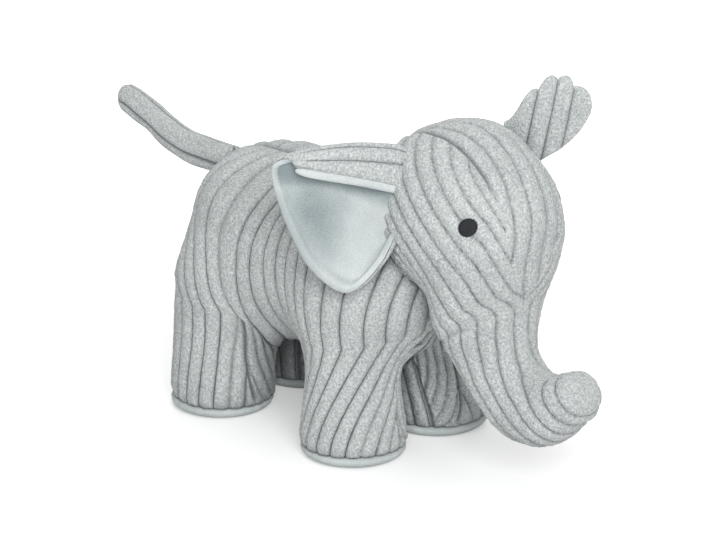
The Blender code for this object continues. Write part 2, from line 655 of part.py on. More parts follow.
def make_sole(name, leg_x, side, material, collection):
    """Round cushioned sole: a turned profile, flat where it stands."""
    top = SOLE_HEIGHT - CLOTH_GAP
    rim = FOOT_RADIUS - WALE_DEPTH
    profile = ((0, top), (rim, top), (rim + 0.0004, top * 0.6), (rim - 0.0016, top * 0.24),
               (SOLE_FLAT_RADIUS, 0), (0, 0))
    bm = bmesh.new()
    verts = [bm.verts.new((r, 0, z)) for r, z in profile]
    for a, b in zip(verts, verts[1:]):
        bm.edges.new((a, b))
    mesh = bpy.data.meshes.new(name)
    bm.to_mesh(mesh)
    mesh.materials.append(material)
    sole = bpy.data.objects.new(name, mesh)
    collection.objects.link(sole)
    x, y = leg_centre(0.0, leg_x, side)
    sole.location = (x, y, 0)
    turned = sole.modifiers.new("turned", "SCREW")
    turned.steps = turned.render_steps = 28
    turned.use_merge_vertices = True
    turned.merge_threshold = 0.00005
    return sole


def centre_on_floor(collection):
    """Moves everything so that the whole object's box is centred on the origin."""
    bpy.context.view_layer.update()
    graph = bpy.context.evaluated_depsgraph_get()
    corners = []
    for thing in collection.objects:
        shape = thing.evaluated_get(graph)
        place = np.array(shape.matrix_world)
        co = np.empty(len(shape.data.vertices) * 3)
        shape.data.vertices.foreach_get("co", co)
        corners.append(co.reshape(-1, 3) @ place[:3, :3].T + place[:3, 3])
    points = np.concatenate(corners)
    shift = -(points.min(0) + points.max(0)) / 2
    for thing in collection.objects:
        thing.location.x += shift[0]
        thing.location.y += shift[1]
    print("moved by", shift[:2].round(5), "size", (points.max(0) - points.min(0)).round(4))


def main():
    collection = start_scene()
    corduroy = cloth("corduroy", (0.55, 0.58, 0.57), 0.9)
    velour = cloth("velour", (0.50, 0.56, 0.56), 0.8)
    sole_cloth = cloth("sole_cloth", (0.35, 0.41, 0.43), 0.85)
    thread = cloth("eye_thread", (0.02, 0.022, 0.03), 0.6)
    make_body(corduroy, collection)
    make_head(corduroy, collection)
    guides = body_guides()
    body_tree = surface_tree([flank_panel(guides), leg_panel(guides, False), leg_panel(guides, True)])
    head_tree = surface_tree([head_form(60, 40)[0]])
    for side in (-1, 1):
        make_ear(side, "back", (head_tree, body_tree), corduroy, collection)
        make_ear(side, "lining", (head_tree, body_tree), velour, collection)
        make_eye(side, head_tree, thread, collection)
    make_tail(body_tree, corduroy, collection)
    for end, leg_x in (("front", FORE_LEG_X), ("rear", HIND_LEG_X)):
        for hand, side in (("right", -1), ("left", 1)):
            make_sole("sole_{}_{}".format(end, hand), leg_x, side, sole_cloth, collection)
    centre_on_floor(collection)


main()
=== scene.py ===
"""Dresses the elephant door stop in wide-wale corduroy, velour ear linings, cloth soles and stitched
eyes."""
import math

import bmesh
import bpy
import numpy as np
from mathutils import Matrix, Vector


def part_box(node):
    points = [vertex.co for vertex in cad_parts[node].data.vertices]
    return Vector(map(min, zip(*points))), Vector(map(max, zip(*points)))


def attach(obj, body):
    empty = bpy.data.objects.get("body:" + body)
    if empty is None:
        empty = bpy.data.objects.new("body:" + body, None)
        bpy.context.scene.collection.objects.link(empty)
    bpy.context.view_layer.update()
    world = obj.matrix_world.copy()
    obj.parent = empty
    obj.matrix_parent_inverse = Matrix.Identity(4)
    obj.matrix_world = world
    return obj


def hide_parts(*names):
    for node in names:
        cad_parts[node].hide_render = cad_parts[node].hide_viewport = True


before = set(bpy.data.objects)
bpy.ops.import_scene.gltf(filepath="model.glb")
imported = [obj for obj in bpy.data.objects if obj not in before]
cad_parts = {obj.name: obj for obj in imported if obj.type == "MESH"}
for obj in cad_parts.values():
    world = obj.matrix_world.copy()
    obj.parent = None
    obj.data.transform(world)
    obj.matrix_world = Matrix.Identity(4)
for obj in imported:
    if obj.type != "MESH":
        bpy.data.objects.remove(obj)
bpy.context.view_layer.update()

# Body, in metres: the same forms as the solid's, see body_distance
RUMP_X, RUMP_Z = -0.037, 0.097
RUMP_SIZE = (0.048, 0.055, 0.051)
RUMP_DROP = 0.053
RUMP_POWER = 3
BARREL_Z = 0.097
BARREL_SIZE = (0.075, 0.056, 0.044)
CHEST_X, CHEST_Z = 0.042, 0.096
CHEST_SIZE = (0.051, 0.057, 0.05)
TORSO_HALF_LENGTH = 0.095
TORSO_HALF_WIDTH = 0.06
TORSO_HALF_HEIGHT = 0.046
LEVEL_Z = 0.092
HIND_LEG_X = -0.055
FORE_LEG_X = 0.051
LEG_Y = 0.033
FOOT_RADIUS = 0.03
HIND_HIP_RADIUS = 0.0315
FORE_HIP_RADIUS = 0.0265
INNER_LEG_TAPER = 0.5
HIP_Z = 0.072
SOLE_HEIGHT = 0.007
SOLE_FLAT_RADIUS = 0.0225
CLOTH_GAP = 0.0003
LEG_COLUMNS = 20
ARCH_COLUMNS = 6
ARCH_Z = 0.0595
ARCH_HALF_LENGTH = 0.016
SEAM_CLEARANCE = 0.002
FRONT_WALE_SETBACK = 0.008
FLANK_ROWS, LEG_ROWS = 66, 40
FLANK_HEIGHT, LEG_HEIGHT = 0.085, 0.055
SPINE_SEAM, LEG_SEAM, SOLE_SEAM = 0.0022, 0.0025, 0.0022
HIP_FOLD, HIP_FOLD_WIDTH = 0.0006, 0.006
# Half wales by which the flank's wales lag over the fore leg, at the level and spine lines, and from where
LEVEL_LAG, SPINE_LAG, LAG_FROM = 1.5, 1.3, 24
# Radians that a leg's wales wind round it, and the column of its front seam at the hip and at the foot
LEG_WINDING = {"fore": (0.32, 18.8, 25.0), "hind": (0.3, 18.5, 21.8)}
WINDING_POWER, NARROWING_POWER = 1.7, 1.5

# Head: the solid's form, as points of its upper and lower outline from the neck to the trunk's end
HEAD_UPPER = ((0.067, 0.1485), (0.064, 0.1662), (0.07, 0.1826), (0.092, 0.193), (0.122, 0.1904),
              (0.146, 0.1738), (0.1555, 0.1479), (0.1525, 0.1216), (0.1465, 0.1022), (0.146, 0.0866),
              (0.151, 0.0727), (0.16, 0.0664), (0.168, 0.0666), (0.173, 0.0698), (0.178, 0.0721))
HEAD_LOWER = ((0.091, 0.0985), (0.0918, 0.0973), (0.0926, 0.0961), (0.0936, 0.0949), (0.0948, 0.0935),
              (0.0958, 0.0915), (0.0966, 0.0885), (0.098, 0.0836), (0.1015, 0.0756), (0.107, 0.0626),
              (0.118, 0.0446), (0.136, 0.0306), (0.157, 0.0254), (0.176, 0.0305), (0.19, 0.0457))
HEAD_HALF_WIDTH = (0.033, 0.0385, 0.041, 0.043, 0.0435, 0.0425, 0.041, 0.0385, 0.033, 0.0265, 0.0225, 0.0205,
                   0.0195, 0.018, 0.0155)
TRUNK_END_DEPTH = 0.0105
HEAD_ROUNDNESS = 0.88
HEAD_ROWS, HEAD_COLUMNS, TRUNK_END_ROWS = 236, 190, 24
GUSSET_HALF_WIDTH = (0.01, 0.011, 0.013, 0.0185, 0.0215, 0.0232, 0.0215, 0.013, -0.001, -0.008, -0.01,
                     -0.01, -0.01, -0.01, -0.01)
GUSSET_WALE_PITCH = 0.0118
GUSSET_LEAN = 0.004
GUSSET_SEAM = 0.0012
# Wales of the side pieces: round the cheek, down the root of the trunk, and along the trunk
CHEEK_MIDDLE, CHEEK_RADIUS = 0.1848, 0.04
CHEEK_WALE_PITCH, CHEEK_WALE_START = 0.0099, 0.0009
CHEEK_WRAP, CHEEK_WRAP_FROM, CHEEK_WRAP_SCALE = 1.3, 0.1036, 1.325
ROOT_WALE_PITCH, ROOT_MIDDLE_WALE = 0.0115, 1.5
TRUNK_WALE_PITCH, TRUNK_WALE_START = 0.0124, 0.2082
TRUNK_LAST_WALE = 3.7
TUCK_STATION, TUCK_WIDTH, TUCK_DEPTH = 8.1, 0.15, 0.0013

TAIL_LINE = ((-0.079, 0, 0.132), (-0.1015, 0, 0.1327), (-0.1195, 0, 0.1339), (-0.136, 0, 0.1394),
             (-0.15, 0, 0.1454), (-0.163, 0, 0.1503), (-0.1755, 0, 0.1527))
TAIL_HALF_HEIGHT = 0.0098
TAIL_HALF_WIDTH = 0.0075
TAIL_GROOVES = (5.0, 75.0, 165.0, 258.0)
TAIL_GROOVE_DEPTH = 0.0016
TAIL_GROOVE_HALF_WIDTH = 0.0011

EYE_X, EYE_Z = 0.138, 0.1507
FAR_EYE_BACK = 0.0032
EYE_FIT_RADIUS = 0.011
EYE_RADIUS = 0.0048

# Near ear: lines of points (outwards, up, forwards) from its lowest point over the fold to the flap's edge
RIGHT_ROOT = ((-0.008, 0.142, 0.0), (-0.008, 0.147, -0.001), (-0.007, 0.152, -0.002),
              (-0.007, 0.158, -0.003), (-0.007, 0.165, -0.005), (-0.007, 0.173, -0.007))
RIGHT_EAR = {"origin": (0.0895, -0.0395, 0.0), "along": (-0.66, -0.75, 0.0), "cup": 0.009,
             "root": RIGHT_ROOT + ((-0.008, 0.178, -0.01), (-0.009, 0.182, -0.01),
                                   (-0.009, 0.177, -0.005), (-0.009, 0.1615, -0.0015)),
             "mouth": RIGHT_ROOT + ((-0.008, 0.177, -0.01), (-0.009, 0.1785, -0.0105),
                                    (-0.009, 0.174, -0.008), (-0.009, 0.1605, -0.004)),
             "edge": ((-0.001, 0.14, 0.002), (0.0088, 0.1205, 0.003), (0.0262, 0.1052, 0.003),
                      (0.045, 0.118, 0.002), (0.057, 0.1404, 0.0), (0.0642, 0.162, -0.001),
                      (0.0658, 0.1745, -0.001), (0.061, 0.1795, 0.0015), (0.056, 0.18, 0.0045),
                      (0.0535, 0.1765, 0.0055))}
RIGHT_FOLD = 6
RIGHT_FOLD_BULGE = 0.004
RIGHT_WALES_BELOW, RIGHT_WALES_ABOVE = 7, 4
MOUTH_SHARE = 0.13
LIP_HALF_WIDTH = 0.0027
# Far ear: places of its outline (across, top, bottom)
LEFT_EAR = {"origin": (0.098, 0.036, 0.0), "along": (0.64, 0.77, 0.0), "cup": 0.006, "lean": 0.2,
            "level": 0.205, "middle": 0.026, "narrow": 0.95, "first_groove": 0.0166,
            "across": (0.0019, 0.0047, 0.0071, 0.0097, 0.013, 0.0166, 0.02, 0.0232, 0.0268, 0.0323, 0.0352,
                       0.037, 0.0433, 0.0466, 0.0488, 0.05),
            "top": (0.185, 0.1868, 0.1915, 0.1985, 0.2035, 0.206, 0.2098, 0.2112, 0.2112, 0.2105, 0.2088,
                    0.2065, 0.203, 0.2003, 0.196, 0.1925),
            "bottom": (0.1835, 0.1775, 0.1735, 0.1685, 0.163, 0.159, 0.1595, 0.1604, 0.1635, 0.1675, 0.1692,
                       0.1705, 0.177, 0.1818, 0.1868, 0.1905)}
EAR_WALE_PITCH = 0.0102

EAR_BACK_THICKNESS = 0.002
EAR_LINING_THICKNESS = 0.0018
EAR_ROUND_OFF = 0.0022
EAR_HALF_GAP = 0.00015
EAR_GROOVE_DEPTH = 0.0014

# Corduroy: depth and squareness of its wales, and the fine unevenness of its pile
WALE_DEPTH = 0.0028
WALE_SQUARENESS = 2.1
PILE_HEIGHT = 0.00018
PILE_SIZE = 0.002
WELD_DISTANCE = 2e-5

# The elephant's own centre in the frame, from the place of a sole
sole_low, sole_high = (np.array(corner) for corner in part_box("sole_front_right"))
SHIFT = np.array([(sole_low[0] + sole_high[0]) / 2 - FORE_LEG_X, (sole_low[1] + sole_high[1]) / 2 + LEG_Y, 0])


def vec(*values):
    return np.array(values, float)


def lumps(p, size, seed, waves=7):
    """Smooth uneven field of about -1 to 1: the mean of sine waves in set directions, one hump per size."""
    chance = np.random.RandomState(seed)
    total = np.zeros(p.shape[:-1])
    for _ in range(waves):
        way = chance.normal(size=3)
        way /= np.linalg.norm(way)
        total += np.sin((p @ way) * math.pi / size * chance.uniform(0.7, 1.3) + chance.uniform(0, 7))
    return total / math.sqrt(waves)


def uneven(p, size, height, seed):
    """Depth of soft lumps of a size in the filling, with the fine unevenness of the pile on top."""
    return height * lumps(p, size, seed) + PILE_HEIGHT * lumps(p, PILE_SIZE, 31, 12)


def near(x, centre, width):
    """1 at the centre, falling away as a bell: e to the minus square of the distance over the width."""
    return np.exp(-((x - centre) / width) ** 2)


def smooth(x):
    """Eases 0..1 to 0..1: x squared times (3 minus 2 x)."""
    x = np.clip(x, 0, 1)
    return x * x * (3 - 2 * x)


def ball(p, centre, size, drop=None, power=2):
    """Distance to an ellipsoid near its surface: (k - 1) over the length of k's slope, where k is the power
    mean of the level radius and the height, each over its half size."""
    size = np.broadcast_to(size, p.shape).copy()
    if drop is not None:
        size[..., 2] = np.where(p[..., 2] < centre[2], drop, size[..., 2])
    q = np.abs(p - centre) / size + 1e-9
    level = np.hypot(q[..., 0], q[..., 1])
    k = (level ** power + q[..., 2] ** power) ** (1 / power)
    sideways = (level / k) ** (power - 1) / level
    steepness = np.sqrt((sideways * q[..., 0] / size[..., 0]) ** 2
                        + (sideways * q[..., 1] / size[..., 1]) ** 2
                        + ((q[..., 2] / k) ** (power - 1) / size[..., 2]) ** 2)
    return (k - 1) / steepness


def blend(a, b, width):
    """Smaller of two distances, with a rounded join of the given width."""
    h = np.clip(0.5 + 0.5 * (b - a) / width, 0, 1)
    return b * (1 - h) + a * h - width * h * (1 - h)


def leg_centre(z, leg_x, side):
    """A leg's middle at a height: its top leans a little towards the middle of the body."""
    rise = np.clip(z / HIP_Z, 0, 1)
    return leg_x * (1 - 0.06 * rise), side * LEG_Y * (1 - 0.10 * rise)


def leg_distance(p, leg_x, side):
    """Distance to an upright round leg whose radius eases from hip to foot, thinner on its inner side, with
    a rounded top."""
    hip_radius = HIND_HIP_RADIUS if leg_x == HIND_LEG_X else FORE_HIP_RADIUS
    x, y = leg_centre(p[..., 2], leg_x, side)
    rise = np.clip(p[..., 2] / HIP_Z, 0, 1)
    radius = FOOT_RADIUS + (hip_radius - FOOT_RADIUS) * smooth(rise)
    across = (p[..., 1] - y) * side
    across = np.where(across < 0, across * (1 + INNER_LEG_TAPER * rise * rise), across)
    return np.hypot(p[..., 0] - x, across) - radius


def body_distance(p):
    """Distance to the torso's three balls and four legs, all blended."""
    rump = ball(p, vec(RUMP_X, 0, RUMP_Z), vec(*RUMP_SIZE), RUMP_DROP, RUMP_POWER)
    torso = blend(rump, ball(p, vec(0, 0, BARREL_Z), vec(*BARREL_SIZE)), 0.02)
    whole = blend(torso, ball(p, vec(CHEST_X, 0, CHEST_Z), vec(*CHEST_SIZE)), 0.02)
    for leg_x in (HIND_LEG_X, FORE_LEG_X):
        legs = blend(leg_distance(p, leg_x, -1), leg_distance(p, leg_x, 1), 0.006)
        whole = blend(whole, -blend(-legs, BARREL_Z + 0.006 - p[..., 2], 0.034), 0.016)
    return whole


def slope(p, step=2e-4):
    """Gradient of the body's distance, by differences."""
    result = np.empty_like(p)
    for axis in range(3):
        offset = np.zeros(3)
        offset[axis] = step
        result[..., axis] = (body_distance(p + offset) - body_distance(p - offset)) / (2 * step)
    return result


def settle(p, in_middle):
    """Moves points down the distance's slope onto the surface. Points of the middle plane stay in it."""
    p = p.copy()
    for _ in range(12):
        g = slope(p)
        g[..., 1] = np.where(in_middle, 0, g[..., 1])
        p = p - np.clip(body_distance(p) / ((g ** 2).sum(-1) + 1e-9), -0.02, 0.02)[..., None] * g
    p[..., 1] = np.where(in_middle, 0, p[..., 1])
    return p


def sink(p, depth, in_middle):
    """Moves points of the body's surface inwards by a depth."""
    g = slope(p)
    g[..., 1] = np.where(in_middle, 0, g[..., 1])
    g /= np.linalg.norm(g, axis=-1, keepdims=True)
    return p - depth[..., None] * g


def loop(points, angle):
    """Closed curve through four points at 0, 90, 180 and 270 degrees: a mean, a cosine, a sine and a cosine
    of the double angle. It keeps clear of the middle plane."""
    a, b, c, d = (vec(*point) for point in points)
    t = angle[:, None]
    curve = ((a + b + c + d) / 4 + (a - c) / 2 * np.cos(t) + (b - d) / 2 * np.sin(t)
             + (a - b + c - d) / 4 * np.cos(2 * t))
    curve[1:-1, 1] = np.minimum(curve[1:-1, 1], -SEAM_CLEARANCE)
    return curve


def at_steps(curve, count, stops):
    """Points of a curve where it is split into count equal lengths, at stops counted in those lengths."""
    run = np.r_[0, np.cumsum(np.linalg.norm(np.diff(curve, axis=0), axis=1))]
    where = np.asarray(stops) / count * run[-1]
    return np.stack([np.interp(where, run, curve[:, k]) for k in range(3)], 1)


def smooth_line(points, stops):
    """Points of a curve through the given ones, at stops counted in its spans: cubics whose slope at each
    point is half the step between its neighbours."""
    p = np.asarray(points, float)
    if p.ndim == 1:
        p = p[:, None]
    last = len(p) - 1
    p = np.vstack([2 * p[0] - p[1], p, 2 * p[-1] - p[-2]])
    t = np.asarray(stops, float)
    i = np.clip(t.astype(int), 0, last - 1)
    f = (t - i)[:, None]
    a, b, c, d = p[i], p[i + 1], p[i + 2], p[i + 3]
    return 0.5 * (2 * b + (c - a) * f + (2 * a - 5 * b + 4 * c - d) * f ** 2
                  + (3 * b - 3 * c + d - a) * f ** 3)


def body_guides():
    """Seam loops round the tops of the legs, the arch, and the level and spine lines that carry the
    wales."""
    outer = np.linspace(-math.pi / 2, math.pi / 2, 200)
    inner = np.linspace(math.pi / 2, 1.5 * math.pi, 200)
    hip_y = TORSO_HALF_WIDTH - 0.001
    arch_y = LEG_Y + 0.013
    rear = (-TORSO_HALF_LENGTH + 0.009, 0, 0.072)
    front = (TORSO_HALF_LENGTH - 0.008, 0, 0.070)
    hind = ((HIND_LEG_X + 0.006, -hip_y, 0.067), (-ARCH_HALF_LENGTH, -arch_y, ARCH_Z),
            (HIND_LEG_X + 0.007, -0.011, 0.043), rear)
    fore = ((FORE_LEG_X - 0.001, -hip_y, 0.065), front, (FORE_LEG_X - 0.002, -0.011, 0.044),
            (ARCH_HALF_LENGTH, -arch_y, ARCH_Z))
    guides = {"hind_outer": loop(hind, outer), "hind_inner": loop(hind, inner),
              "fore_outer": loop(fore, outer), "fore_inner": loop(fore, inner)}
    a = np.linspace(0, 1, 60)[:, None]
    guides["arch"] = vec(*hind[1]) * (1 - a) + vec(*fore[3]) * a + vec(0, 0, 0.004) * 4 * a * (1 - a)
    squareness = 2 / 2.4
    for name, start in (("level", 4), ("spine", 6)):
        t = np.radians(np.linspace(start, 180 - start, 400))
        along = -TORSO_HALF_LENGTH * np.sign(np.cos(t)) * np.abs(np.cos(t)) ** squareness
        along -= FRONT_WALE_SETBACK * np.sin(math.pi * np.clip((t / math.pi - 0.42) / 0.53, 0, 1))
        bulge = np.sin(t) ** squareness
        if name == "level":
            curve = np.stack([along, -TORSO_HALF_WIDTH * bulge, np.full_like(t, LEVEL_Z)], 1)
            curve[[0, -1], 1] = 0
        else:
            curve = np.stack([along, 0 * t, BARREL_Z + TORSO_HALF_HEIGHT * bulge], 1)
        guides[name] = curve
    return guides


def wale_stops(first, last, finer=()):
    """Column positions in half wales: grooves at even numbers, crests at odd ones, closest beside the
    grooves. Stretches in finer are (from, to, step) and get even columns instead."""
    from_crest = vec(0, 0.3, 0.55, 0.75, 0.88, 0.96, 1)
    crests = np.arange(first + 1, last, 2)[:, None]
    stops = np.unique(np.round(np.concatenate([crests - from_crest, crests + from_crest], 1), 4))
    for low, high, step in finer:
        stops = stops[(stops < low - 0.02) | (stops > high + 0.02)]
        stops = np.concatenate([stops, np.linspace(low, high, round((high - low) / step) + 1)])
    return np.unique(np.round(stops, 4))


def furrow(wale):
    """Depth share of a wale number: 0 on the crest, 1 in the groove at whole numbers. It is 1 minus the root
    of (1 minus a power of the distance from the crest)."""
    u = np.abs(2 * (wale - np.floor(wale)) - 1)
    return 1 - np.sqrt(np.clip(1 - u ** WALE_SQUARENESS, 0, 1))


# Columns of a leg, with even fine ones where its front seam crosses the wales
FINE_FIRST, FINE_LAST = 16.6, 27.6
LEG_STOPS = wale_stops(0, 2 * LEG_COLUMNS, ((FINE_FIRST, LEG_COLUMNS, 0.17), (LEG_COLUMNS, FINE_LAST, 0.169)))
OUTER_STOPS = LEG_STOPS[LEG_STOPS <= LEG_COLUMNS + 1e-6]
INNER_STOPS = LEG_STOPS[LEG_STOPS >= LEG_COLUMNS - 1e-6]


def over_leg(stops, middle):
    """1 over the middle of a leg's outer columns, easing to 0 at its ends."""
    return smooth((LEG_COLUMNS - 1 - np.abs(stops - middle) * 2) / 6)


def flank(guides):
    """Side panel from the waist to the spine: a quadratic in t through the waist, level and spine lines,
    settled on the body. The upper ends of the wales sway a little, and lag behind over the fore leg. Returns
    points and groove shares."""
    count = LEG_COLUMNS
    arch_stops = wale_stops(0, ARCH_COLUMNS)[:-1]
    stops = np.concatenate([OUTER_STOPS[:-1], count + arch_stops, count + ARCH_COLUMNS + OUTER_STOPS])
    waist = np.concatenate([at_steps(guides["hind_outer"], count, OUTER_STOPS[:-1]),
                            at_steps(guides["arch"], ARCH_COLUMNS, arch_stops),
                            at_steps(guides["fore_outer"], count, OUTER_STOPS)])
    total = 2 * count + ARCH_COLUMNS
    sway = (0.12 * np.sin(stops * 1.7) + 0.10 * np.sin(stops * 0.9 + 2)) * np.sin(stops / total * math.pi)
    lag = np.sin(math.pi * np.clip((stops - LAG_FROM) / (total - 1 - LAG_FROM), 0, 1))
    level = at_steps(guides["level"], total, np.clip(stops + sway - LEVEL_LAG * lag, 0, total))
    spine = at_steps(guides["spine"], total, stops - SPINE_LAG * lag)
    t = np.linspace(0, 1, FLANK_ROWS)[None, :, None]
    m = 0.36
    p = (waist[:, None] * (t - m) * (t - 1) / m + level[:, None] * t * (t - 1) / (m * (m - 1))
         + spine[:, None] * t * (t - m) / (1 - m))
    in_middle = np.zeros(p.shape[:2], bool)
    in_middle[[0, -1], :] = True
    in_middle[:, -1] = True
    p = settle(p, in_middle)
    from_waist = t[..., 0] * FLANK_HEIGHT
    share = furrow(stops / 2)[:, None] * np.ones(p.shape[:2])
    share = np.maximum(share, near(from_waist, FLANK_HEIGHT, SPINE_SEAM) * 0.9)
    above_leg = np.maximum(over_leg(stops, count / 2), over_leg(stops, 1.5 * count + ARCH_COLUMNS))
    fold = above_leg[:, None] * near(from_waist, 0, HIP_FOLD_WIDTH)
    depth = WALE_DEPTH * share + HIP_FOLD * fold + uneven(p, 0.028, 0.0008, 3)
    return sink(p, depth, in_middle), share


def leg(guides, fore):
    """Tube of one leg: columns from a ring at the sole to the ring of seams, settled on the body. The
    columns wind round the leg on their way down. A seam winds down its front, where the wales of the outer
    piece end and those of the inner piece start."""
    name = "fore" if fore else "hind"
    twist, seam_top, seam_foot = LEG_WINDING[name]
    top = np.concatenate([at_steps(guides[name + "_outer"], LEG_COLUMNS, OUTER_STOPS),
                          at_steps(guides[name + "_inner"], LEG_COLUMNS, INNER_STOPS[1:] - LEG_COLUMNS)])
    stops = LEG_STOPS
    v = np.linspace(0, 1, LEG_ROWS)[None, :, None]
    up = v[..., 0]
    turn = (stops[:, None] / LEG_COLUMNS - 0.5) * math.pi - twist * (1 - up ** WINDING_POWER)
    x, y = leg_centre(0.0, FORE_LEG_X if fore else HIND_LEG_X, -1)
    foot = np.stack([x + FOOT_RADIUS * np.sin(turn), y - FOOT_RADIUS * np.cos(turn),
                     np.full_like(turn, SOLE_HEIGHT)], -1)
    ease = np.concatenate([v ** NARROWING_POWER, v ** NARROWING_POWER, v], -1)
    p = foot * (1 - ease) + top[:, None] * ease
    in_middle = np.zeros(p.shape[:2], bool)
    in_middle[np.argmin(np.abs(stops - LEG_COLUMNS)) if fore else [0, -1], -1] = True
    p = settle(p, in_middle)
    column = stops[:, None] * np.ones_like(up)
    to_top = (1 - up) * LEG_HEIGHT
    seam = seam_foot + (seam_top - seam_foot) * up ** 0.8
    beyond = furrow((column - seam) / 2 - 1.2 * (1 - up) + 0.5)
    share = np.where((column > seam) & (column < FINE_LAST - 0.05), beyond, furrow(column / 2))
    share = np.maximum(share, near(column, seam, 0.30) * smooth(up / 0.08))
    share = np.maximum(share, near(column, FINE_LAST, 0.30))
    share = np.maximum(share, near(to_top, 0, LEG_SEAM) * (column > LEG_COLUMNS))
    share[:, -1] = np.where(stops > LEG_COLUMNS, 1, furrow(stops / 2))
    fold = over_leg(stops, LEG_COLUMNS / 2)[:, None] * near(to_top, 0, HIP_FOLD_WIDTH)
    low = near(up * LEG_HEIGHT, 0, SOLE_SEAM)
    depth = (WALE_DEPTH * share * (1 - 0.4 * low) + HIP_FOLD * fold + uneven(p, 0.028, 0.0008, 3)
             + 0.0012 * low)
    p = sink(p, depth, in_middle)
    p[:, 0, 2] = SOLE_HEIGHT
    # Painted shade in the sunk seam at the foot, through the groove attribute
    return p, np.maximum(share, low * 0.45)


def belly(guides):
    """Panel under the belly, its wales running across: the sum of its two rulings less the flat sheet
    through its corners, settled on the body."""
    across = INNER_STOPS - LEG_COLUMNS
    hind = at_steps(guides["hind_inner"], LEG_COLUMNS, across)
    fore = at_steps(guides["fore_inner"][::-1], LEG_COLUMNS, across)
    stops = wale_stops(0, ARCH_COLUMNS)
    arch = at_steps(guides["arch"], ARCH_COLUMNS, stops)[:, None]
    i = (stops / ARCH_COLUMNS)[:, None, None]
    k = (across / LEG_COLUMNS)[None, :, None]
    middle = (hind[-1] * (1 - i[:, 0]) + fore[-1] * i[:, 0]
              - vec(0, 0, 0.024) * 4 * i[:, 0] * (1 - i[:, 0]))[:, None]
    p = (hind[None] * (1 - i) + fore[None] * i + arch * (1 - k) + middle * k
         - hind[0] * (1 - i) * (1 - k) - fore[0] * i * (1 - k) - hind[-1] * (1 - i) * k - fore[-1] * i * k)
    in_middle = np.zeros(p.shape[:2], bool)
    in_middle[:, -1] = True
    p = settle(p, in_middle)
    share = furrow(stops / 2)[:, None] * np.ones(p.shape[:2])
    share[[0, -1], :] = 1
    return sink(p, WALE_DEPTH * share + uneven(p, 0.028, 0.0008, 3), in_middle), share


def grid_faces(shape, start, flip):
    """Corner numbers of a grid's quads, counted from a start."""
    m, n = shape
    number = np.arange(m * n).reshape(m, n) + start
    quads = np.stack([number[:-1, :-1], number[1:, :-1], number[1:, 1:], number[:-1, 1:]], -1).reshape(-1, 4)
    return quads[:, ::-1] if flip else quads


def new_object(name, data):
    """An object in the scene's collection."""
    thing = bpy.data.objects.new(name, data)
    bpy.context.scene.collection.objects.link(thing)
    return thing


def make_piece(name, panels, material):
    """A mesh of grids, welded at their shared edges. Each panel is points, groove shares and flip; the
    groove shares, stored as the groove attribute, also carry the painted shade that the finishes darken by.
    """
    points, shares, quads = [], [], []
    start = 0
    for p, share, flip in panels:
        points.append(p.reshape(-1, 3) + SHIFT)
        shares.append(np.broadcast_to(share, p.shape[:2]).reshape(-1))
        quads.append(grid_faces(p.shape[:2], start, flip))
        start += p.shape[0] * p.shape[1]
    mesh = bpy.data.meshes.new(name)
    mesh.from_pydata(np.concatenate(points), [], np.concatenate(quads).tolist())
    # The groove attribute: groove shares, and painted shade of seams, creases and hollows
    mesh.attributes.new("groove", "FLOAT", "POINT").data.foreach_set("value", np.concatenate(shares))
    mesh.materials.append(material)
    bm = bmesh.new()
    bm.from_mesh(mesh)
    bmesh.ops.remove_doubles(bm, verts=bm.verts, dist=WELD_DISTANCE)
    bmesh.ops.dissolve_degenerate(bm, edges=bm.edges, dist=1e-6)
    bmesh.ops.recalc_face_normals(bm, faces=bm.faces)
    bm.to_mesh(mesh)
    bm.free()
    mesh.polygons.foreach_set("use_smooth", np.ones(len(mesh.polygons), bool))
    thing = new_object(name, mesh)
    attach(thing, "root")
    return thing


def both_sides(panels):
    """The right side's panels and their mirror images."""
    return panels + [(p * vec(1, -1, 1), share, not flip) for p, share, flip in panels]


def neck_plane():
    """Normal and offset of the flat seam where the head is sewn to the body."""
    upper, lower = vec(*HEAD_UPPER[0]), vec(*HEAD_LOWER[0])
    run = (upper - lower) / np.linalg.norm(upper - lower)
    normal = vec(run[1], 0, -run[0])
    return normal, float(normal[0] * upper[0] + normal[2] * upper[1])


def make_body(corduroy):
    """The stuffed body: flanks, legs and the panel under the belly, cut flat at the neck."""
    guides = body_guides()
    normal, offset = neck_plane()
    panels = [(*flank(guides), False), (*leg(guides, False), True), (*leg(guides, True), True),
              (*belly(guides), True)]
    cut = []
    for p, share, flip in panels:
        past = np.maximum(p @ normal - (offset - CLOTH_GAP), 0)
        cut.append((p - past[..., None] * normal, share, flip))
    rings = []
    for p, share, flip in cut[1:3]:
        ring = p[:, :1]
        centre = (ring.min(0) + ring.max(0)) / 2
        disc = np.concatenate([centre + (ring - centre) * size for size in (0, 0.5, 1)], 1)
        rings.append((disc, share[:, :1], flip))
    body = make_piece("corduroy_body", both_sides(cut + rings), corduroy)
    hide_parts("body")


# Head

def head_form(stations, turn):
    """Half of the head and trunk: rounded half ellipses on chords of the side view. Stations past the last
    are a dome."""
    last = len(HEAD_UPPER) - 1
    along = np.clip(stations, 0, last)
    dome = np.clip(stations - last, 0, 1) * math.pi / 2
    inward = np.clip(1 + stations, 0, 1)
    upper, lower = smooth_line(HEAD_UPPER, along), smooth_line(HEAD_LOWER, along)
    wide = smooth_line(HEAD_HALF_WIDTH, along)[:, 0] * np.cos(dome) * inward
    middle, half = (upper + lower) / 2, (upper - lower) / 2
    ahead = np.stack([half[:, 1], -half[:, 0]], 1) / np.linalg.norm(half, axis=1, keepdims=True)
    middle = middle + ahead * (TRUNK_END_DEPTH * np.sin(dome))[:, None]
    half = half * (np.cos(dome) * inward)[:, None]
    side = np.abs(np.cos(turn)) ** HEAD_ROUNDNESS
    p = np.stack([middle[:, None, 0] + half[:, None, 0] * np.sin(turn), -wide[:, None] * side,
                  middle[:, None, 1] + half[:, None, 1] * np.sin(turn)], -1)
    p[:, [0, -1], 1] = 0
    return p


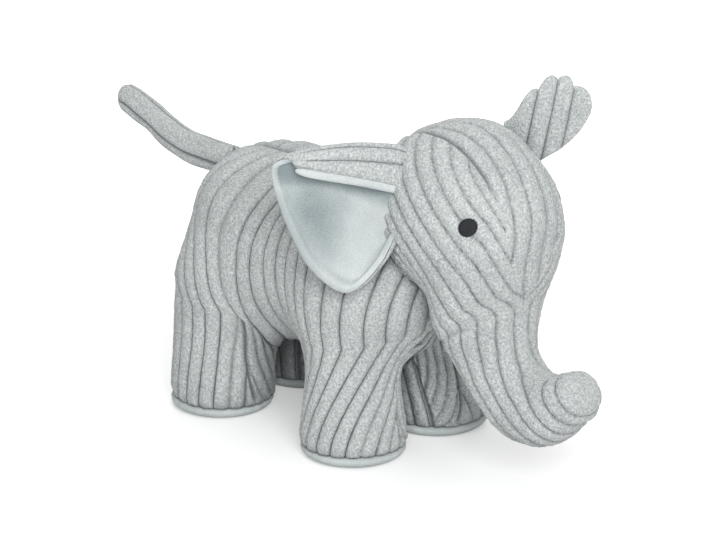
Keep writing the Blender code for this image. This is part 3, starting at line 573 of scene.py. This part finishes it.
def head_wales(p, stations, side):
    """Wale numbers over one half of the head, whose grooves are at whole numbers, and the distance from the
    gusset's seam. Round the cheek the number is an arcsine of x + z, which is lowered where the cheek turns
    to the front. Down the root of the trunk it falls with the distance from the middle line, and along the
    trunk it is x + z again. The gusset's wales run beside the middle line."""
    gap = np.linalg.norm(np.diff(p, axis=1), axis=2)
    none = np.zeros((len(p), 1))
    from_front = np.concatenate([np.cumsum(gap[:, ::-1], axis=1)[:, ::-1], none], axis=1)
    at = stations[:, None]
    x, wide, z = p[..., 0], np.abs(p[..., 1]), p[..., 2]
    straight = x + z
    wrapped = (straight + CHEEK_WRAP * (CHEEK_WRAP_FROM - wide)) / CHEEK_WRAP_SCALE
    turned = smooth((0.182 - z) / 0.012) * smooth((x - 0.10) / 0.02)
    level = (straight + np.maximum(wrapped - straight, 0) * turned) / math.sqrt(2) - CHEEK_MIDDLE
    round_cheek = CHEEK_RADIUS * np.arcsin(np.clip(level / CHEEK_RADIUS, -0.999, 0.999))
    cheek = (round_cheek + CHEEK_WALE_START) / CHEEK_WALE_PITCH
    root = ROOT_MIDDLE_WALE - from_front / ROOT_WALE_PITCH
    trunk = (straight - TRUNK_WALE_START) / TRUNK_WALE_PITCH
    to_root, to_trunk = smooth((at - 7.4) / 1.0), smooth((at - 9.3) / 1.7)
    panel = (cheek * (1 - to_root) + root * to_root) * (1 - to_trunk) + trunk * to_trunk
    lean = GUSSET_LEAN * smooth((at - 4.3) / 1.2) * (1 - smooth((at - 7.3) / 0.6))
    gusset = (side * from_front + lean) / GUSSET_WALE_PITCH
    seam = from_front - np.interp(stations, np.arange(len(HEAD_UPPER)), GUSSET_HALF_WIDTH)[:, None]
    return panel, gusset, seam


def make_head(corduroy):
    """The stuffed head and trunk: side pieces with slanting wales, a gusset with upright ones over the
    crown, and a tuck across the root of the trunk. Returns the form under the relief."""
    fine = np.linspace(0, len(HEAD_UPPER) - 1, 1401)
    run = sum(np.r_[0, np.cumsum(np.linalg.norm(np.diff(smooth_line(table, fine), axis=0), axis=1))]
              for table in (HEAD_UPPER, HEAD_LOWER))
    rows = np.interp(np.linspace(0, run[-1], HEAD_ROWS), run, fine)
    end_rows = rows[-1] + np.linspace(0, 1, TRUNK_END_ROWS)[1:] ** 0.8
    stations = np.concatenate([np.linspace(-1, 0, 3)[:-1], rows, end_rows])
    turn = np.linspace(-math.pi / 2, math.pi / 2, HEAD_COLUMNS)[None] * np.ones((len(stations), 1))
    form = head_form(stations, turn)
    normal = np.cross(np.gradient(form, axis=0), np.gradient(form, axis=1))
    length = np.linalg.norm(normal, axis=-1, keepdims=True)
    normal = normal / np.maximum(length, 1e-12) * (length > 1e-12)
    if normal[len(stations) // 2, HEAD_COLUMNS // 2, 1] > 0:
        normal = -normal
    normal[:, [0, -1], 1] = 0
    at = stations[:, None]
    panels = []
    for side in (-1, 1):
        panel, gusset, seam = head_wales(form, stations, side)
        share = np.where(seam < 0, furrow(gusset), furrow(panel))
        edge = near(seam, 0, GUSSET_SEAM) * (1 - smooth((at - 4.6) / 1.0))
        plain_end = np.where(at > 12, smooth((TRUNK_LAST_WALE - panel) / 0.3), 1)
        share = np.maximum(share, edge) * smooth(at / 0.12) * plain_end
        across = TUCK_STATION + 0.15 * np.sin(form[..., 1] * 170)
        tuck = near(at, across, TUCK_WIDTH) * smooth(seam / 0.012)
        tuck = tuck * np.clip(0.55 + 0.6 * lumps(form, 0.012, 21), 0, 1)
        depth = WALE_DEPTH * share + TUCK_DEPTH * tuck + uneven(form, 0.024, 0.0009, 8) * smooth(at / 0.6)
        p = form - normal * depth[..., None]
        p[:, [0, -1], 1] = 0
        # The tuck's crease also gets painted shade, through the groove attribute
        panels.append((p * vec(1, -side, 1), np.maximum(share, 0.5 * tuck), side > 0))
    head = make_piece("corduroy_head", panels, corduroy)
    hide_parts("head")
    return form


def layer_pair(hand, p, normal, rim, share, bead, hollow, corduroy, velour, more=()):
    """The two sewn layers of an ear on a middle surface: the corduroy back on one side, the lining on the
    other. Each one's thickness rounds off to nothing over the last millimetres before the rim, as a quarter
    circle."""
    round_off = np.sqrt(np.clip(1 - (1 - np.clip(rim / EAR_ROUND_OFF, 0, 1)) ** 2, 0, 1))
    creases = 0.0004 * lumps(p, 0.014, 5)
    for layer, way, material in (("back", -1, corduroy), ("lining", 1, velour)):
        if layer == "back":
            thick = EAR_BACK_THICKNESS - EAR_GROOVE_DEPTH * share
            shade = share
        else:
            thick = EAR_LINING_THICKNESS + 0.0011 * bead + creases
            # Painted shade on the lining: a darker band beside the rolled rim, and the shade given for the
            # hollow
            shade = np.maximum(0.4 * near(rim, 0.0058, 0.0014), hollow)
        inner = p + way * normal * EAR_HALF_GAP
        outer = p + way * normal * (EAR_HALF_GAP + round_off * thick)[..., None]
        sheets = [(inner, 0 * share, way > 0), (outer, shade, way < 0)]
        sheets += more if layer == "lining" else []
        piece = make_piece("{}_ear_{}".format(hand, layer), sheets, material)
        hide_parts("ear_{}_{}".format(hand, layer))


def ear_frame(ear):
    """Origin, outward direction and the direction that the lining faces."""
    along = vec(*ear["along"])
    along = along / np.linalg.norm(along)
    return vec(*ear["origin"]), along, np.cross(vec(0, 0, 1), along)


def facing(p, forward):
    """Unit normals of a grid, turned the way the lining faces."""
    normal = np.cross(np.gradient(p, axis=1), np.gradient(p, axis=0))
    normal /= np.maximum(np.linalg.norm(normal, axis=-1, keepdims=True), 1e-12)
    return normal if (normal @ forward).sum() > 0 else -normal


def make_right_ear(corduroy, velour):
    """The near ear: a ruled sheet from its root line to its edge line, hollowed between, whose top is folded
    forward over itself. Near the head it closes from the root line to the mouth line. Its wales run from the
    root to the edge, and a flattened roll of the lining lies along the flap's free edge."""
    origin, along, forward = ear_frame(RIGHT_EAR)
    above = vec(0, 0, 1)
    spans = len(RIGHT_EAR["root"]) - 1
    below_fold = 2 * RIGHT_WALES_BELOW
    past_fold = 2 * RIGHT_WALES_ABOVE
    flat_part = wale_stops(0, below_fold) / below_fold * RIGHT_FOLD
    fold_part = RIGHT_FOLD + wale_stops(0, past_fold) / past_fold * (spans - RIGHT_FOLD)
    ends = 0.25 * np.linspace(0, 1, 7) ** 2
    t = np.unique(np.round(np.concatenate([flat_part, fold_part, ends, spans - ends]), 4))
    wale = np.interp(t, (0, RIGHT_FOLD, spans), (0, RIGHT_WALES_BELOW, RIGHT_WALES_BELOW + RIGHT_WALES_ABOVE))
    r = np.unique(np.concatenate([np.linspace(0, 1, 50), 1 - 0.06 * np.linspace(0, 1, 9) ** 2]))
    root, mouth, rim_line = (smooth_line(RIGHT_EAR[line], t)[None] for line in ("root", "mouth", "edge"))
    r3 = r[:, None, None]
    flat = root * (1 - r3) + rim_line * r3 + (mouth - root) * (1 - smooth(r3 / MOUTH_SHARE))
    arch = np.sin(math.pi * np.clip((r - 0.10) / 0.90, 0, 1))[:, None]
    hollow = RIGHT_EAR["cup"] * arch * np.sin(math.pi * np.clip(t / RIGHT_FOLD, 0, 1))[None] ** 0.8
    lift = RIGHT_FOLD_BULGE * arch * near(t, RIGHT_FOLD + 1.3, 1.0)[None]
    p = (origin + flat[..., :1] * along + (flat[..., 1] + lift)[..., None] * above
         + (flat[..., 2] - hollow)[..., None] * forward)
    p = p + 0.0010 * lumps(p, 0.022, 12)[..., None] * forward
    normal = facing(p, forward)
    reach = np.linalg.norm(p[-1] - p[0], axis=1)[None]
    gap = np.linalg.norm(np.diff(p, axis=1), axis=2)
    height = gap.sum(1)[:, None]
    run = np.concatenate([np.zeros((len(r), 1)), np.cumsum(gap, axis=1)], 1)
    rim = np.minimum(np.minimum((1 - r)[:, None] * reach, run), height - run)
    bead = near(rim, 0.0024, 0.0018)
    share = furrow(wale)[None] * smooth(rim / 0.003) * smooth((1.02 - r)[:, None] / 0.25)
    # Painted shade on the lining: in the hollow, and in a band under the folded flap
    painted_hollow_shade = 0.85 * near(flat[..., 0], 0.042, 0.017) * near(flat[..., 1], 0.148, 0.026)
    below_flap = 0.1580 + 0.20 * flat[..., 0] - flat[..., 1]
    painted_hollow_shade = np.maximum(painted_hollow_shade, 0.95 * smooth((0.011 - below_flap) / 0.012) * smooth(rim / 0.004))
    angle = np.linspace(0, 2 * math.pi, 17)[None, :, None]
    size = (LIP_HALF_WIDTH * np.sqrt(np.clip(1 - (2 * r - 1) ** 8, 0, 1)))[:, None, None]
    lip_line = p[:, -1][:, None] - 0.0020 * above - 0.0006 * forward
    lip = lip_line + size * 0.55 * np.sin(angle) * forward + size * np.cos(angle) * above
    layer_pair("right", p, normal, rim, share, bead, painted_hollow_shade, corduroy, velour, [(lip, 0.0, False)])


def make_left_ear(corduroy, velour):
    """The far ear: a hollowed leaf whose wales stand side by side, each ending in its own rounded tip."""
    ear = LEFT_EAR
    origin, along, forward = ear_frame(ear)
    low, high = ear["across"][0], ear["across"][-1]
    first = (low - ear["first_groove"]) / EAR_WALE_PITCH
    last = (high - ear["first_groove"]) / EAR_WALE_PITCH
    wale = np.arange(-2, 5)[:, None] + vec(-0.5, -0.35, -0.22, -0.12, -0.06, 0, 0.06, 0.12, 0.22, 0.35)
    from_end = 0.3 * np.linspace(0, 1, 8) ** 2
    ends = np.concatenate([first + from_end, last - from_end])
    wale = np.unique(np.round(np.concatenate([wale.ravel(), ends]), 4))
    wale = wale[(wale >= first - 1e-4) & (wale <= last + 1e-4)]
    across = ear["first_groove"] + wale * EAR_WALE_PITCH
    share = furrow(wale) * ((wale > -0.5) & (wale < 2.5))
    steps = np.linspace(0, len(ear["across"]) - 1, 400)
    known = smooth_line(ear["across"], steps)[:, 0]
    top = np.interp(across, known, smooth_line(ear["top"], steps)[:, 0]) + 0.0006 - 0.0026 * share ** 0.7
    bottom = np.interp(across, known, smooth_line(ear["bottom"], steps)[:, 0])
    from_rim = 0.06 * np.linspace(0, 1, 7) ** 2
    r = np.unique(np.concatenate([np.linspace(0, 1, 40), 1 - from_rim, from_rim]))
    z = bottom * (1 - r[:, None]) + top * r[:, None]
    a = across + ear["lean"] * (z - ear["level"])
    a = ear["middle"] + (a - ear["middle"]) * ear["narrow"]
    sideways = np.cos(math.pi * np.clip((a - 0.024) / 0.056, -0.5, 0.5))
    bulge = ear["cup"] * sideways * np.sin(math.pi * np.clip((z - 0.150) / 0.080, 0, 1))
    p = origin + a[..., None] * along + z[..., None] * vec(0, 0, 1) - bulge[..., None] * forward
    normal = facing(p, forward)
    tall = (top - bottom)[None]
    to_sides = np.minimum(across - low, high - across)[None] * 1.5
    rim = np.minimum(np.minimum((1 - r)[:, None] * tall, r[:, None] * tall), to_sides)
    share = np.broadcast_to(share, p.shape[:2]) * smooth(rim / 0.0012)
    bead = near(rim, 0.0020, 0.0016)
    layer_pair("left", p, normal, rim, share, bead, 0 * share, corduroy, velour)


def make_tail(corduroy):
    """Flattened stuffed strip: an oval carried along the tail's line, with four wales and a rounded tip."""
    spans = len(TAIL_LINE) - 1
    s = np.concatenate([np.linspace(0, 0.93, 70)[:-1], 0.93 + 0.07 * np.sin(np.linspace(0, math.pi / 2, 14))])
    line = smooth_line(TAIL_LINE, s * spans)
    ahead = np.gradient(line, axis=0)
    ahead /= np.linalg.norm(ahead, axis=1)[:, None]
    up = np.cross(ahead, vec(0, -1, 0))
    up *= np.sign(up[:, 2:])
    end = np.sqrt(np.clip(1 - np.clip((s - 0.90) / 0.10, 0, 1) ** 2.4, 0, 1))
    grooves = np.radians(TAIL_GROOVES)
    ease = 0.5 * (1 - np.cos(np.linspace(0, math.pi, 20)))
    next_grooves = np.r_[grooves[1:], grooves[0] + 2 * math.pi]
    turn = np.unique(np.concatenate([low + (high - low) * ease for low, high in zip(grooves, next_grooves)]))
    gap = np.abs((turn[:, None] - grooves[None] + math.pi) % (2 * math.pi) - math.pi).min(1)
    share = near(gap * TAIL_HALF_WIDTH, 0, TAIL_GROOVE_HALF_WIDTH)[None] * np.clip(end, 0, 1)[:, None]
    share = share * smooth((1 - s) / 0.05)[:, None]
    taper = (1 - 0.08 * s)[:, None] * end[:, None]
    p = (line[:, None] + up[:, None] * (TAIL_HALF_HEIGHT * taper * np.cos(turn))[..., None]
         + vec(0, 1, 0) * (TAIL_HALF_WIDTH * taper * np.sin(turn))[..., None])
    core = line[:, None]
    out = p - core
    size = np.maximum(np.linalg.norm(out, axis=-1, keepdims=True), 1e-9)
    groove = (TAIL_GROOVE_DEPTH * share)[..., None] / np.maximum(size, 0.002)
    bumps = 0.0004 * lumps(p, 0.010, 4)[..., None] * end[:, None, None]
    p = core + out * (1 - groove) + out / size * bumps
    inner = np.concatenate([np.broadcast_to(line[0], p[:1].shape), p], 0)
    shade = np.concatenate([share[:1], share], 0)
    tail = make_piece("corduroy_tail", [(inner, shade, False)], corduroy)
    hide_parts("tail")


def make_sole(end, hand, cloth):
    """Cushioned sole: a rounded profile turned about the leg, flat where it stands, gathered a little at its
    seam."""
    leg_x = FORE_LEG_X if end == "front" else HIND_LEG_X
    x, y = leg_centre(0.0, leg_x, -1 if hand == "right" else 1)
    a = np.linspace(0, math.pi / 2, 16)
    rim = FOOT_RADIUS - 0.0012
    out = SOLE_FLAT_RADIUS + (rim + 0.0004 - SOLE_FLAT_RADIUS) * np.sin(a)
    up = (SOLE_HEIGHT - 0.0022) * (1 - np.cos(a)) ** 0.9
    lid = SOLE_HEIGHT - CLOTH_GAP
    flat = np.linspace(0, SOLE_FLAT_RADIUS, 12)[:-1]
    r = np.r_[flat, out, rim - 0.0002, rim - 0.0012, rim - 0.003, rim / 2, 0]
    z = np.r_[0 * flat, up, SOLE_HEIGHT - 0.0009, lid, lid, lid, lid]
    turn = np.linspace(0, 2 * math.pi, 181)
    pucker = 0.0003 * np.sin(turn * 23 + (1 if hand == "left" else 0)) * np.sin(turn * 5 + leg_x * 90)
    r = r[:, None] + pucker[None] * smooth((z[:, None] - 0.001) / 0.004) * (r[:, None] > SOLE_FLAT_RADIUS)
    p = np.stack([x + r * np.cos(turn), y + r * np.sin(turn), z[:, None] + 0 * r], -1)
    p[:, -1] = p[:, 0]
    # Painted shade on the sole's top band, in the seam under the leg
    shade = smooth((z - 0.0048) / 0.0018)[:, None] * 0.8
    sole = make_piece("sole_pad_{}_{}".format(end, hand), [(p, shade, False)], cloth)
    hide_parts("sole_{}_{}".format(end, hand))


def quadratic(x, z):
    """The six terms of a quadratic in x and z."""
    return np.stack([np.ones_like(x), x, z, x * x, x * z, z * z], -1)


def make_eye(side, head_points, thread):
    """Satin-stitched eye: a low dome on the head's side, whose height follows a quadratic fitted to the head
    there, with a rim that steps in and out stitch by stitch."""
    eye_x = EYE_X - (FAR_EYE_BACK if side > 0 else 0)
    head = head_points.reshape(-1, 3)
    head = head[np.hypot(head[:, 0] - eye_x, head[:, 2] - EYE_Z) < EYE_FIT_RADIUS]
    fit = np.linalg.lstsq(quadratic(head[:, 0] - eye_x, head[:, 2] - EYE_Z), -head[:, 1], rcond=None)[0]
    r = np.concatenate([np.linspace(0, 0.86, 16), [0.91, 0.95, 0.98, 1.0, 1.0]])[:, None]
    turn = np.linspace(0, 2 * math.pi, 145)[None]
    ragged = 1 + 0.025 * np.sin(turn * 29) + 0.02 * np.sin(turn * 17 + 2)
    stitch = 0.00012 * np.sin((r * np.sin(turn)) * EYE_RADIUS / 0.00045 * math.pi) * (r < 0.93)
    lift = np.concatenate([0.0010 * np.sqrt(1 - (0.97 * r[:-1]) ** 4), [[-0.0009]]]) + stitch
    x = EYE_RADIUS * 0.88 * r * ragged * np.cos(turn)
    z = EYE_RADIUS * r * ragged * np.sin(turn)
    slope_x = fit[1] + 2 * fit[3] * x + fit[4] * z
    slope_z = fit[2] + 2 * fit[5] * z + fit[4] * x
    length = np.sqrt(1 + slope_x ** 2 + slope_z ** 2)
    y = quadratic(x, z) @ fit
    p = np.stack([eye_x + x - lift * slope_x / length, side * (y + lift / length),
                  EYE_Z + z - lift * slope_z / length], -1)
    p[:, -1] = p[:, 0]
    p = np.concatenate([p, np.broadcast_to(p[-1].mean(0), p[:1].shape)], 0)
    hand = "right" if side < 0 else "left"
    eye = make_piece("stitched_eye_" + hand, [(p, 0.0, side > 0)], thread)
    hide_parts("eye_" + hand)


# Finishes

class Field:
    """A shader socket that adds Math nodes when it is used in an expression."""

    def __init__(self, nodes, socket):
        self.nodes = nodes
        self.socket = socket

    def op(self, kind, *others):
        node = self.nodes.tree.nodes.new("ShaderNodeMath")
        node.operation = kind
        for number, value in enumerate((self,) + others):
            self.nodes.feed(node.inputs[number], value)
        return Field(self.nodes, node.outputs[0])

    def __add__(self, other):
        return self.op("ADD", other)

    def __mul__(self, other):
        return self.op("MULTIPLY", other)

    def __sub__(self, other):
        return self.op("SUBTRACT", other)

    def __rsub__(self, other):
        return (self * -1).op("ADD", other)

    def __pow__(self, other):
        return self.op("POWER", other)

    def clamp(self):
        return self.op("MAXIMUM", 0.0).op("MINIMUM", 1.0)

    __radd__ = __add__
    __rmul__ = __mul__


class Nodes:
    """A material's nodes."""

    def __init__(self, name):
        self.material = bpy.data.materials.new(name)
        self.material.use_nodes = True
        self.tree = self.material.node_tree
        self.shader = self.tree.nodes["Principled BSDF"]

    def feed(self, socket, value):
        if isinstance(value, Field):
            self.tree.links.new(value.socket, socket)
        else:
            socket.default_value = value

    def feed_all(self, node, inputs):
        for name, value in inputs.items():
            self.feed(node.inputs[name.replace("_", " ")], value)

    def node(self, kind, settings=None, output=0, **inputs):
        """Any node: its settings first, then the values or links of its sockets. Underscores stand for
        spaces."""
        node = self.tree.nodes.new(kind)
        for name, value in (settings or {}).items():
            setattr(node, name, value)
        self.feed_all(node, inputs)
        return Field(self, node.outputs[output])

    def surface(self, **inputs):
        """The shader's values or links, named in the same way. Returns the material."""
        self.feed_all(self.shader, inputs)
        return self.material

    def mix(self, factor, first, second):
        """Colour between two others."""
        node = self.tree.nodes.new("ShaderNodeMix")
        node.data_type = "RGBA"
        self.feed(node.inputs[0], factor)
        self.feed(node.inputs[6], first)
        self.feed(node.inputs[7], second)
        return Field(self, node.outputs[2])

    def place(self):
        return self.node("ShaderNodeTexCoord", output=3)

    # The groove attribute: groove shares and the painted shade of seams, creases and hollows
    def groove(self):
        return self.node("ShaderNodeAttribute", {"attribute_name": "groove"}, output=2)

    def noise(self, size, detail=2.0, roughness=0.5, place=None):
        """Noise with features of a size in metres."""
        return self.node("ShaderNodeTexNoise", Vector=place or self.place(), Scale=0.5 / size, Detail=detail,
                         Roughness=roughness)

    def wave(self, direction, size, place, distortion=0.0):
        """Soft bands across an axis, repeating by a size in metres."""
        return self.node("ShaderNodeTexWave", {"bands_direction": direction}, output=1, Vector=place,
                         Scale=2 * math.pi / size / 20, Distortion=distortion)

    def bump(self, height, distance, strength=1.0):
        return self.node("ShaderNodeBump", Height=height, Distance=distance, Strength=strength)


def sharpen(field, low, high):
    """Stretches a field so that low becomes 0 and high becomes 1."""
    return ((field - low) * (1 / (high - low))).clamp()


def corduroy_finish(name, light, shade, groove):
    """Corduroy pile: pale with darker flecks, mottled, rough with tufts, with painted shade in the grooves
    and seams and where little of the sky is open."""
    n = Nodes(name)
    place = n.place()
    flecks = sharpen(n.noise(0.00065, 2.0, 0.7, place), 0.37, 0.63)
    tufts = sharpen(n.noise(0.0004, 1.0, 0.5, place), 0.3, 0.7)
    mottle = sharpen(n.noise(0.014, 2.0, 0.5, place), 0.35, 0.65)
    pale = n.mix((flecks * 0.55 + tufts * 0.30 + mottle * 0.12 + 0.05).clamp(), (*shade, 1), (*light, 1))
    # Painted shade: the groove colour laid over the grooves, seams and creases by the groove attribute
    cloth = n.mix(sharpen(n.groove(), 0.15, 1.0) ** 1.6 * 0.85, pale, (*groove, 1))
    # Painted shade: the groove colour again where ambient occlusion finds little open sky
    open_sky = n.node("ShaderNodeAmbientOcclusion", {"samples": 6}, output=1, Distance=0.06)
    return n.surface(Base_Color=n.mix(sharpen(open_sky, 0.0, 0.50), (*groove, 1), cloth),
                     Roughness=flecks * -0.08 + 0.95,
                     Normal=n.bump(flecks * 0.7 + tufts * 0.5, 0.0010, 0.7),
                     Sheen_Weight=0.15, Sheen_Roughness=0.5, Specular_IOR_Level=0.1)


def velour_finish(name, light, shade):
    """Short smooth pile: soft cloudy shade where the pile lies another way, fine grain, and painted shade
    where the groove attribute is set.
    """
    n = Nodes(name)
    place = n.place()
    clouds = sharpen(n.noise(0.010, 2.0, 0.5, place), 0.3, 0.7)
    grain = sharpen(n.noise(0.0004, 2.0, 0.6, place), 0.35, 0.65)
    factor = (clouds * 0.25 + grain * 0.25 + 0.60 - n.groove() * 0.95).clamp()
    return n.surface(Base_Color=n.mix(factor, (*shade, 1), (*light, 1)),
                     Roughness=grain * -0.1 + 0.85,
                     Normal=n.bump(grain + clouds * 2, 0.0003, 0.35),
                     Sheen_Weight=0.35, Sheen_Roughness=0.4, Specular_IOR_Level=0.2)


def sole_finish(name, light, shade):
    """Plain woven cloth: a fine over-and-under weave, with painted shade along its seam with the leg."""
    n = Nodes(name)
    place = n.place()
    weave = n.wave("X", 0.0011, place) * 0.5 + n.wave("Y", 0.0011, place) * 0.5
    clouds = sharpen(n.noise(0.008, 2.0, 0.5, place), 0.3, 0.7)
    factor = (weave * 0.35 + clouds * 0.45 + 0.15 - n.groove() * 0.6).clamp()
    return n.surface(Base_Color=n.mix(factor, (*shade, 1), (*light, 1)),
                     Roughness=weave * -0.1 + 0.9,
                     Normal=n.bump(weave, 0.0002, 0.5),
                     Specular_IOR_Level=0.2)


def thread_finish(name, light, shade):
    """Dark embroidery thread: fine parallel strands with a slight gloss."""
    n = Nodes(name)
    place = n.place()
    strands = n.wave("Z", 0.0009, place, 1.5)
    fuzz = sharpen(n.noise(0.0004, 2.0, 0.6, place), 0.35, 0.65)
    return n.surface(Base_Color=n.mix(strands * 0.5 + fuzz * 0.5, (*shade, 1), (*light, 1)),
                     Roughness=fuzz * 0.2 + 0.5,
                     Normal=n.bump(strands + fuzz, 0.0003, 0.7))


# Each finish's pale and darker tones. The corduroy's third colour, and the darker tones of the velour and the
# sole cloth, are also the painted shade that the groove attribute lays on.
corduroy = corduroy_finish("grey_corduroy", (0.74, 0.77, 0.763), (0.30, 0.325, 0.33), (0.115, 0.127, 0.134))
velour = velour_finish("pale_velour", (0.61, 0.645, 0.645), (0.25, 0.30, 0.31))
sole_cloth = sole_finish("blue_grey_sole_cloth", (0.62, 0.66, 0.66), (0.44, 0.48, 0.48))
thread = thread_finish("dark_eye_thread", (0.012, 0.014, 0.021), (0.004, 0.005, 0.008))

make_body(corduroy)
head_points = make_head(corduroy)
make_right_ear(corduroy, velour)
make_left_ear(corduroy, velour)
make_tail(corduroy)
for end in ("front", "rear"):
    for hand in ("right", "left"):
        make_sole(end, hand, sole_cloth)
for side in (-1, 1):
    make_eye(side, head_points, thread)


# Floor, lamps and camera

FLOOR_HALF_SIZE = 6
FLOOR_GREY = 0.80
# Glow of the floor to the camera, beside the elephant and far off, and the distances between which it grows
GLOW_NEAR, GLOW_FAR = 0.32, 1.0
GLOW_FROM, GLOW_TO = 0.3, 1.3
SURROUND_LIGHT, BACKGROUND_WHITE = 0.45, 1.0
# Name, place, target, size and power of each lamp
LAMPS = (("key", (1.2, -0.9, 0.9), (0.03, 0.0, 0.1), 0.9, 20),
         ("top", (-0.1, 0.0, 1.5), (0.0, 0.0, 0.05), 1.4, 5),
         ("back", (-0.9, 1.1, 1.0), (0.0, 0.0, 0.1), 1.2, 8))
# The photograph's camera: its angles, distance and pivot, and its scale and shift in pixels
VIEW_AZIMUTH, VIEW_HEIGHT, VIEW_DISTANCE = math.radians(45), math.radians(18.5), 1.9
VIEW_PIVOT = (0.02, 0, 0.1017)
PHOTO_WIDTH = 716
PIXELS_PER_METRE = 1800
SHIFT_RIGHT, SHIFT_UP = 2.2, -19.3
SENSOR_WIDTH = 36


def make_floor():
    """A wide pale floor that shows white where it is lit and keeps the soft shadow. Its glow to the camera
    grows with the distance from the elephant."""
    bm = bmesh.new()
    bmesh.ops.create_grid(bm, x_segments=2, y_segments=2, size=FLOOR_HALF_SIZE)
    mesh = bpy.data.meshes.new("floor")
    bm.to_mesh(mesh)
    bm.free()
    floor = new_object("floor", mesh)
    n = Nodes("pale_floor")
    seen = n.node("ShaderNodeLightPath", output=0)
    away = n.node("ShaderNodeVectorMath", {"operation": "LENGTH"}, output=1, Vector=n.place())
    glow = seen * (sharpen(away, GLOW_FROM, GLOW_TO) * (GLOW_FAR - GLOW_NEAR) + GLOW_NEAR)
    mesh.materials.append(n.surface(Base_Color=(FLOOR_GREY, FLOOR_GREY, FLOOR_GREY, 1), Roughness=1,
                                    Specular_IOR_Level=0, Emission_Strength=1,
                                    Emission_Color=n.mix(glow, (0, 0, 0, 1), (1, 1, 1, 1))))


def make_surround():
    """Even light from all round, which the camera sees as white."""
    world = bpy.data.worlds.new("studio")
    bpy.context.scene.world = world
    world.use_nodes = True
    tree = world.node_tree
    background = tree.nodes["Background"]
    background.inputs["Color"].default_value = (1, 1, 1, 1)
    path = tree.nodes.new("ShaderNodeLightPath")
    level = tree.nodes.new("ShaderNodeMix")
    level.data_type = "FLOAT"
    level.inputs[2].default_value = SURROUND_LIGHT
    level.inputs[3].default_value = BACKGROUND_WHITE
    tree.links.new(path.outputs["Is Camera Ray"], level.inputs[0])
    tree.links.new(level.outputs[0], background.inputs["Strength"])


def make_lamp(name, place, target, size, power):
    """A round lamp that faces its target."""
    lamp = bpy.data.lights.new(name, "AREA")
    lamp.shape = "DISK"
    lamp.size = size
    lamp.energy = power
    thing = new_object(name, lamp)
    thing.location = place
    thing.rotation_euler = (Vector(place) - Vector(target)).to_track_quat("Z", "Y").to_euler()


def make_camera():
    """The photograph's camera, on a line from its pivot."""
    back = Vector((math.sin(VIEW_AZIMUTH) * math.cos(VIEW_HEIGHT),
                   -math.cos(VIEW_AZIMUTH) * math.cos(VIEW_HEIGHT), math.sin(VIEW_HEIGHT)))
    camera = new_object("camera", bpy.data.cameras.new("camera"))
    camera.location = Vector(VIEW_PIVOT) + Vector(SHIFT) + back * VIEW_DISTANCE
    camera.rotation_euler = back.to_track_quat("Z", "Y").to_euler()
    camera.data.sensor_width = SENSOR_WIDTH
    camera.data.lens = SENSOR_WIDTH * PIXELS_PER_METRE * VIEW_DISTANCE / PHOTO_WIDTH
    camera.data.shift_x = SHIFT_RIGHT / PHOTO_WIDTH
    camera.data.shift_y = SHIFT_UP / PHOTO_WIDTH
    camera.data.clip_start = 0.05
    bpy.context.scene.camera = camera


make_floor()
make_surround()
for lamp in LAMPS:
    make_lamp(*lamp)
make_camera()
bpy.context.scene.view_settings.view_transform = "Standard"
